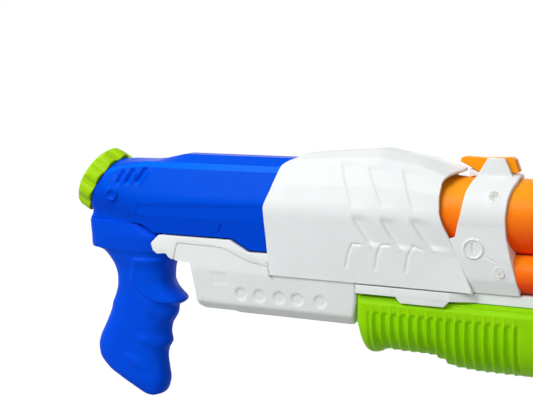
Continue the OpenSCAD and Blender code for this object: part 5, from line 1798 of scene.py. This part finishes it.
@dataclass
class PumpHandle:
    """Lime pump handle in two screwed halves, hooked over the rail, with ribs that swell downwards."""

    rear: float = 80.0
    length: float = 158.0
    half_w: float = 30.5
    lip: float = -65.896
    neck_w: float = 25.2
    slot_w: float = 19.5
    shelf_w: float = 27.8
    shelf: float = -67.296
    step: float = -70.096
    depth: float = 58.5
    wall: float = 2.7
    ribs: int = 16
    rib_first: float = 13.0
    rib_pitch: float = 7.4
    rib_lift: float = 1.5
    valley: float = 1.9
    lip_t: float = 2.7
    flange_w: float = 22.5
    flange_h: float = 3.7
    cylinder_r: float = 13.6
    screws: tuple = ((96.0, -103.896, 12.0), (158.0, -109.896, 12.0), (214.0, -107.896, 12.0))
    screw_over: float = 8.0
    boss_drop: float = 1.2
    # Distance from the rear end and depth below the lip of the belly's lowest line.
    belly: tuple = ((0, 37), (2, 47), (5, 53.5), (9, 55), (15, 53.5), (20, 50.5), (39, 51), (56, 51),
                    (66, 54), (75, 59), (83, 60), (100, 61), (135, 61), (156, 60), (158, 56))

    def chain(self, points: Array, low: Array, width: Array, middle: float) -> Array:
        """Half section through given corners, closed below by a rounded belly.

        Args:
            points: corners from the slot's edge to the side, shape (stations, corners, 2).
            low: height of the belly's lowest line.
            width: half width of the belly.
            middle: height where the belly starts.

        Returns:
            Points from the slot's edge to the mid plane, shape (stations, points, 2).
        """
        head = rounded_chain(points, [0.5, 0.5, 0.8, 3.0, 4.0], 1.0, 4)
        t = np.linspace(0, np.pi / 2, 52)[1:]
        belly = np.stack([width[:, None] * np.maximum(np.cos(t), 0) ** 0.9,
                          middle + (low[:, None] - middle) * np.sin(t) ** 0.9], -1)
        belly[:, -1, 0] = 0
        return np.concatenate([head, belly], 1)

    def skin(self) -> Array:
        """Rings along the handle, with end walls drawn in to the openings for the rail and the cylinder.

        Returns:
            Points, shape (rings, points, 3).
        """
        d = np.linspace(0, self.length, 236)
        knots, values = zip(*self.belly)
        low = self.lip - smooth_table(d, knots, values) * self.depth / max(values)
        width = self.half_w * smooth_table(d, [0, 3, 8, 150, 158], [0.9, 0.97, 1, 1, 0.96])
        middle = self.lip - 19
        shelf_w = np.minimum(self.shelf_w, width - 0.4)
        corners = corner_table((self.slot_w, self.lip), (self.neck_w, self.lip), (self.neck_w, self.shelf),
                               (shelf_w, self.shelf), (shelf_w, self.step), (width, self.step - 2),
                               (width, middle))
        x = self.rear + d
        body = along_x(x, self.chain(corners, low, width, middle))
        over = self.lip - self.lip_t
        under = over - self.flange_h
        count = body.shape[1]
        turn = int(np.argmax(body[0, :, 2] < under - 2))

        def opening(x_at: float, rim: Sequence[Sequence[float]]) -> Array:
            """A rim of the end wall's opening, cut into as many points as the section.

            Args:
                x_at: place of the end wall.
                rim: corners of the rim, of y and z.

            Returns:
                Points, shape (points, 3).
            """
            line = np.asarray(rim, float)
            way = travelled(line)
            spot = np.interp(np.arange(count), [0, turn, count - 1], [0, way[2], way[-1]])
            y, z = (np.interp(spot, way, line[:, k]) for k in (0, 1))
            return np.stack([np.full(count, x_at), y, z], -1)

        a = np.linspace(0.27, -np.pi / 2, 16)
        round_rim = np.stack([self.cylinder_r * np.cos(a), PUMP_AXIS + self.cylinder_r * np.sin(a)], -1)
        slot = [[self.slot_w, over], [self.flange_w, over], [self.flange_w, under]]
        back = opening(x[0], slot + round_rim.tolist())
        ahead = opening(x[-1], slot + [[0, under]])
        drawn = (0.04, 0.2, 0.6, 1.0)
        rear = np.stack([body[0] + (back - body[0]) * f for f in drawn[::-1]])
        front = np.stack([body[-1] + (ahead - body[-1]) * f for f in drawn])
        return np.concatenate([rear, body, front])

    def rib(self, x: Array, z: Array) -> Array:
        """Rib height: a rounded hump at every pitch, thin and low above, wide and full below.

        Args:
            x: places in the side view.
            z: their heights.

        Returns:
            Height over the plain surface at each place.
        """
        d = x - self.rear - self.rib_first
        number = np.clip(np.round(d / self.rib_pitch), 0, self.ribs - 1)
        off = np.abs(d - number * self.rib_pitch)
        full = ease((self.lip - 12.0 - z) / 3.0)
        start = ease((self.lip - 7.0 - z) / 1.5)
        deep = np.interp(x - self.rear, *np.transpose(self.belly))
        calm = 1 - ease((self.lip - z - deep + 8.0) / 6.0)
        thin = 0.5 * ease(1 - off / 1.4)
        wave = (0.5 + 0.5 * np.cos(np.pi * np.minimum(off / (self.rib_pitch / 2), 1))) ** 1.5
        ribbed = ease((d + 5.0) / 3.0) * ease((self.rib_pitch * (self.ribs - 1) + 5.0 - d) / 3.0)
        thick = (self.rib_lift + self.valley) * wave - self.valley * ribbed
        return start * calm * (thin * (1 - full) + thick * full)

    def half(self, side: Side) -> Form:
        """One half: ribbed outer skin, wall, and on the left the screw bosses.

        Args:
            side: which half.

        Returns:
            The half, drawn on the left.
        """
        grid = add_edge_lines(self.skin(), 1)
        normal = outward_normals(grid, 100)
        normal[:4], normal[-4:] = (-1, 0, 0), (1, 0, 0)
        lift = self.rib(grid[..., 0], grid[..., 2]) - edge_drop(grid, 1, Border.LAST, PARTING)
        lift[:5], lift[-5:] = 0, 0
        outer, inner = skins(grid, normal, lift, self.wall)
        for skin in (outer, inner):
            skin[:, -1, 1] = 0
        rims = boss_rims(grid, self.screws, self.screw_over, self.boss_drop)
        return screwed_half(side, (outer, inner), self.screws, self.screw_over, rims)

    def build(self) -> None:
        """Makes both halves."""
        both_halves({side: self.half(side) for side in Side}, "pump", PUMP_LIME, Body.PUMP)


@dataclass
class Hose:
    """Milky delivery hose from the valve block up and forward to the barrel."""

    x: float = 42.0
    low: float = -55.696
    bend: float = 25.0
    front: float = 96.8
    radius: float = 4.8
    bore: float = 3.1

    def build(self) -> None:
        """Carries a ring profile along a path: straight up, a quarter turn, straight forward."""
        turn = np.linspace(np.pi, np.pi / 2, 20)
        arc = self.bend * np.stack([np.cos(turn), np.sin(turn)], -1) + (self.x + self.bend, -self.bend)
        path = np.concatenate([[[self.x, self.low]], arc, [[self.front, 0.0]]])
        ahead = np.gradient(path, axis=0)
        ahead /= np.linalg.norm(ahead, axis=-1, keepdims=True)
        ahead[0], ahead[-1] = (0, 1), (1, 0)
        aside = np.stack([-ahead[:, 1], ahead[:, 0]], -1)
        a = np.linspace(0, 2 * np.pi, 32, endpoint=False)

        def skin(radius: float) -> Array:
            """Rings of one radius along the path."""
            xz = path[:, None] + radius * np.cos(a)[None, :, None] * aside[:, None]
            return np.stack([xz[..., 0], np.broadcast_to(radius * np.sin(a), xz.shape[:2]), xz[..., 1]], -1)

        Form().add_ring(np.concatenate([skin(self.radius), skin(self.bore)[::-1]])).piece(
            "delivery_hose_vinyl", HOSE, Body.HOUSING, ["delivery_hose"])


@dataclass
class Springs:
    """Coil springs that press the two check valves onto their seats."""

    coil_r: float = 3.6
    wire_r: float = 0.45
    clear: float = 0.05
    # Name, place, height of the fixed and the free end, turns and valve of each spring.
    coils: tuple = (("inlet", -4.0, -79.896, -67.496, 5, Body.INLET),
                    ("outlet", 42.0, -61.896, -68.296, 3, Body.OUTLET))

    def coil(self, x: float, fixed: float, free: float, turns: int) -> Array:
        """Rings of the wire along a helix, whose angle and height both grow evenly from one end to the other.

        Args:
            x: place of the coil's axis.
            fixed: height of the end that stays.
            free: height of the end that moves with the valve.
            turns: number of turns.

        Returns:
            Points, shape (rings, points, 3).
        """
        inset = math.copysign(self.wire_r + self.clear, free - fixed)
        t = np.linspace(0, 1, 24 * turns + 1)
        a = 2 * np.pi * turns * t
        out = np.stack([np.cos(a), np.sin(a), np.zeros_like(a)], -1)
        height = fixed + inset + (free - fixed - 2 * inset) * t
        centre = self.coil_r * out + np.stack([np.full_like(t, x), np.zeros_like(t), height], -1)
        k = np.linspace(0, 2 * np.pi, 8, endpoint=False)[:, None]
        upright = np.array([0.0, 0.0, 1.0])
        return centre[:, None] + self.wire_r * (np.cos(k) * out[:, None] + np.sin(k) * upright)

    def build(self) -> None:
        """Makes both springs, each running from the valve block at one end to its valve at the other."""
        for name, x, fixed, free, turns, valve in self.coils:
            made = Form().add_bar(self.coil(x, fixed, free, turns)).piece(
                f"{name}_spring_wire", STEEL, None, [f"{name}_spring"])
            ends = PLACE.metres(np.array([[x, 0, fixed], [x, 0, free]])).tolist()
            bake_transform(made)


@dataclass
class Inside:
    """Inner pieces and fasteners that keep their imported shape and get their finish."""

    finishes: dict = field(default_factory=lambda: {
        TANK_BLUE: ("filler_neck",),
        RUBBER: ("cap_seal", "cap_vent", "outlet_sleeve", "cylinder_gasket", "inlet_valve", "outlet_valve",
                 "piston_rings"),
        NATURAL: ("tank_outlet", "barrel_bulkhead", "feed_tube", "nozzle_manifold", "pump_cylinder",
                  "valve_block", "outlet_fitting", "piston_rod"),
        ACETAL: ("rod_guide", "piston", "band_screws"),
        BARREL_ORANGE: ("nozzle_tips",),
        STEEL: ("grip_screws", "frame_screws", "shell_screws", "pump_screws", "sight_pin", "hose_clips",
                "rod_nut")})

    def build(self) -> None:
        """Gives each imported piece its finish."""
        for finish, names in self.finishes.items():
            for name in names:
                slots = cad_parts[name].data.materials
                slots.clear()
                slots.append(finish.material())
                log.info("%s: %s", name, finish.name)


@dataclass
class Studio:
    """Camera of the photograph, soft light and a pale floor."""

    azimuth: float = 24.0
    elevation: float = 7.6
    focal_px: float = 1010.0
    width_px: float = 533.0
    distance: float = 0.860
    aim: tuple = (-12.0, 0.0, 1.0)
    sensor: float = 36.0
    view_end: float = 50.0
    ambient: float = 0.24
    white: str = "#FFFFFF"
    floor_half: float = 6.0
    floor_tone: str = "#B0B0B0"
    floor_glow: float = 1.3
    floor_share: float = 0.75
    lit: tuple = (0.0, 0.0, 0.14)
    # Name, place, size and power of each lamp.
    lamps: tuple = (("key", (-0.65, -1.08, 1.2), 0.95, 22.6), ("fill", (0.9, -1.1, 0.6), 1.0, 2.4),
                    ("back", (0.0, 1.4, 0.3), 0.6, 3.2), ("top", (-0.62, -0.15, 1.5), 0.3, 2.8))

    @staticmethod
    def stand(data: bpy.types.ID, right: Array, back: Array, spot: Array) -> bpy.types.Object:
        """Puts a camera or a lamp at a spot.

        Args:
            data: the camera or the lamp.
            right: direction to its right.
            back: direction against its view.
            spot: its place in metres.

        Returns:
            The object, named as its data.
        """
        turn = np.eye(4)
        turn[:3] = np.stack([right, np.cross(back, right), back, spot], -1)
        made = bpy.data.objects.new(data.name, data)
        made.matrix_world = Matrix(turn.tolist())
        bpy.context.scene.collection.objects.link(made)
        return made

    def camera(self) -> None:
        """Sets the camera at its distance from the aimed point."""
        a, e = math.radians(self.azimuth), math.radians(self.elevation)
        back = np.array([math.sin(a) * math.cos(e), -math.cos(a) * math.cos(e), math.sin(e)])
        right = np.array([math.cos(a), math.sin(a), 0.0])
        data = bpy.data.cameras.new("camera")
        data.sensor_width = self.sensor
        data.lens = self.focal_px / self.width_px * self.sensor
        data.clip_end = self.view_end
        spot = PLACE.metres(np.array(self.aim)) + back * self.distance
        bpy.context.scene.camera = self.stand(data, right, back, spot)

    def lamp(self, name: str, spot: Sequence[float], size: float, power: float) -> None:
        """Adds a square area lamp that faces the middle of the object.

        Args:
            name: its name.
            spot: its place in metres.
            size: length of its sides in metres.
            power: its power in watts.
        """
        data = bpy.data.lights.new(name, "AREA")
        data.shape, data.size, data.energy = "SQUARE", size, power
        back = np.asarray(spot, float) - self.lit
        back /= np.linalg.norm(back)
        right = np.cross((0.0, 1.0, 0.001), back)
        right /= np.linalg.norm(right)
        self.stand(data, right, back, np.asarray(spot))

    @staticmethod
    def seen(tree: bpy.types.NodeTree) -> bpy.types.NodeSocket:
        """1 for rays from the camera, a mirror or glass, and 0 for light on the object.

        Args:
            tree: the tree that takes the nodes.

        Returns:
            The socket that gives it.
        """
        path = node(tree, "ShaderNodeLightPath").outputs
        both = node(tree, "ShaderNodeMath", {0: path["Is Camera Ray"], 1: path["Is Glossy Ray"]},
                    operation="MAXIMUM")
        return node(tree, "ShaderNodeMath", {0: both.outputs[0], 1: path["Is Transmission Ray"]},
                    operation="MAXIMUM").outputs[0]

    def world(self) -> None:
        """White surroundings to the eye, and an even soft light on the object."""
        world = bpy.data.worlds.new("studio")
        bpy.context.scene.world = world
        world.use_nodes = True
        tree = world.node_tree
        tree.nodes.clear()
        strength = node(tree, "ShaderNodeMapRange", {
            "Value": self.seen(tree), "To Min": self.ambient, "To Max": 1.0})
        light = node(tree, "ShaderNodeBackground", {
            "Color": linear(self.white), "Strength": strength.outputs["Result"]})
        node(tree, "ShaderNodeOutputWorld", {"Surface": light.outputs["Background"]})

    def floor(self) -> None:
        """A wide pale sheet at the foot of the grip, nearly white to the eye, which takes a soft shadow."""
        mesh = bpy.data.meshes.new("studio_floor")
        s = self.floor_half
        mesh.from_pydata([(-s, -s, 0), (s, -s, 0), (s, s, 0), (-s, s, 0)], [], [(0, 1, 2, 3)])
        made = bpy.data.objects.new("studio_floor", mesh)
        bpy.context.scene.collection.objects.link(made)
        paper = bpy.data.materials.new("studio_paper")
        paper.use_nodes = True
        tree = paper.node_tree
        tree.nodes.clear()
        matt = node(tree, "ShaderNodeBsdfDiffuse", {"Color": linear(self.floor_tone)})
        glow = node(tree, "ShaderNodeEmission", {"Color": linear(self.white), "Strength": self.floor_glow})
        share = node(tree, "ShaderNodeMath", {0: self.seen(tree), 1: self.floor_share}, operation="MULTIPLY")
        mix = node(tree, "ShaderNodeMixShader", {0: share.outputs[0], 1: matt.outputs[0], 2: glow.outputs[0]})
        node(tree, "ShaderNodeOutputMaterial", {"Surface": mix.outputs[0]})
        mesh.materials.append(paper)

    def build(self) -> None:
        """Sets up the whole stage."""
        bpy.context.scene.view_settings.view_transform = "Standard"
        self.camera()
        self.world()
        self.floor()
        for lamp in self.lamps:
            self.lamp(*lamp)


def main() -> None:
    """Builds the sub-assemblies in order."""
    logging.basicConfig(level=logging.INFO, format="%(message)s")
    for part in (Studio(), Tank(), Cap(), Grip(), LowerFrame(), BodyShell(), Band(), Sight(), Barrel(),
                 Rail(), Muzzle(), PumpHandle(), Hose(), Springs(), Inside()):
        log.info("building %s", type(part).__name__)
        part.build()
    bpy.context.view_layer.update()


if __name__ == "__main__":
    main()
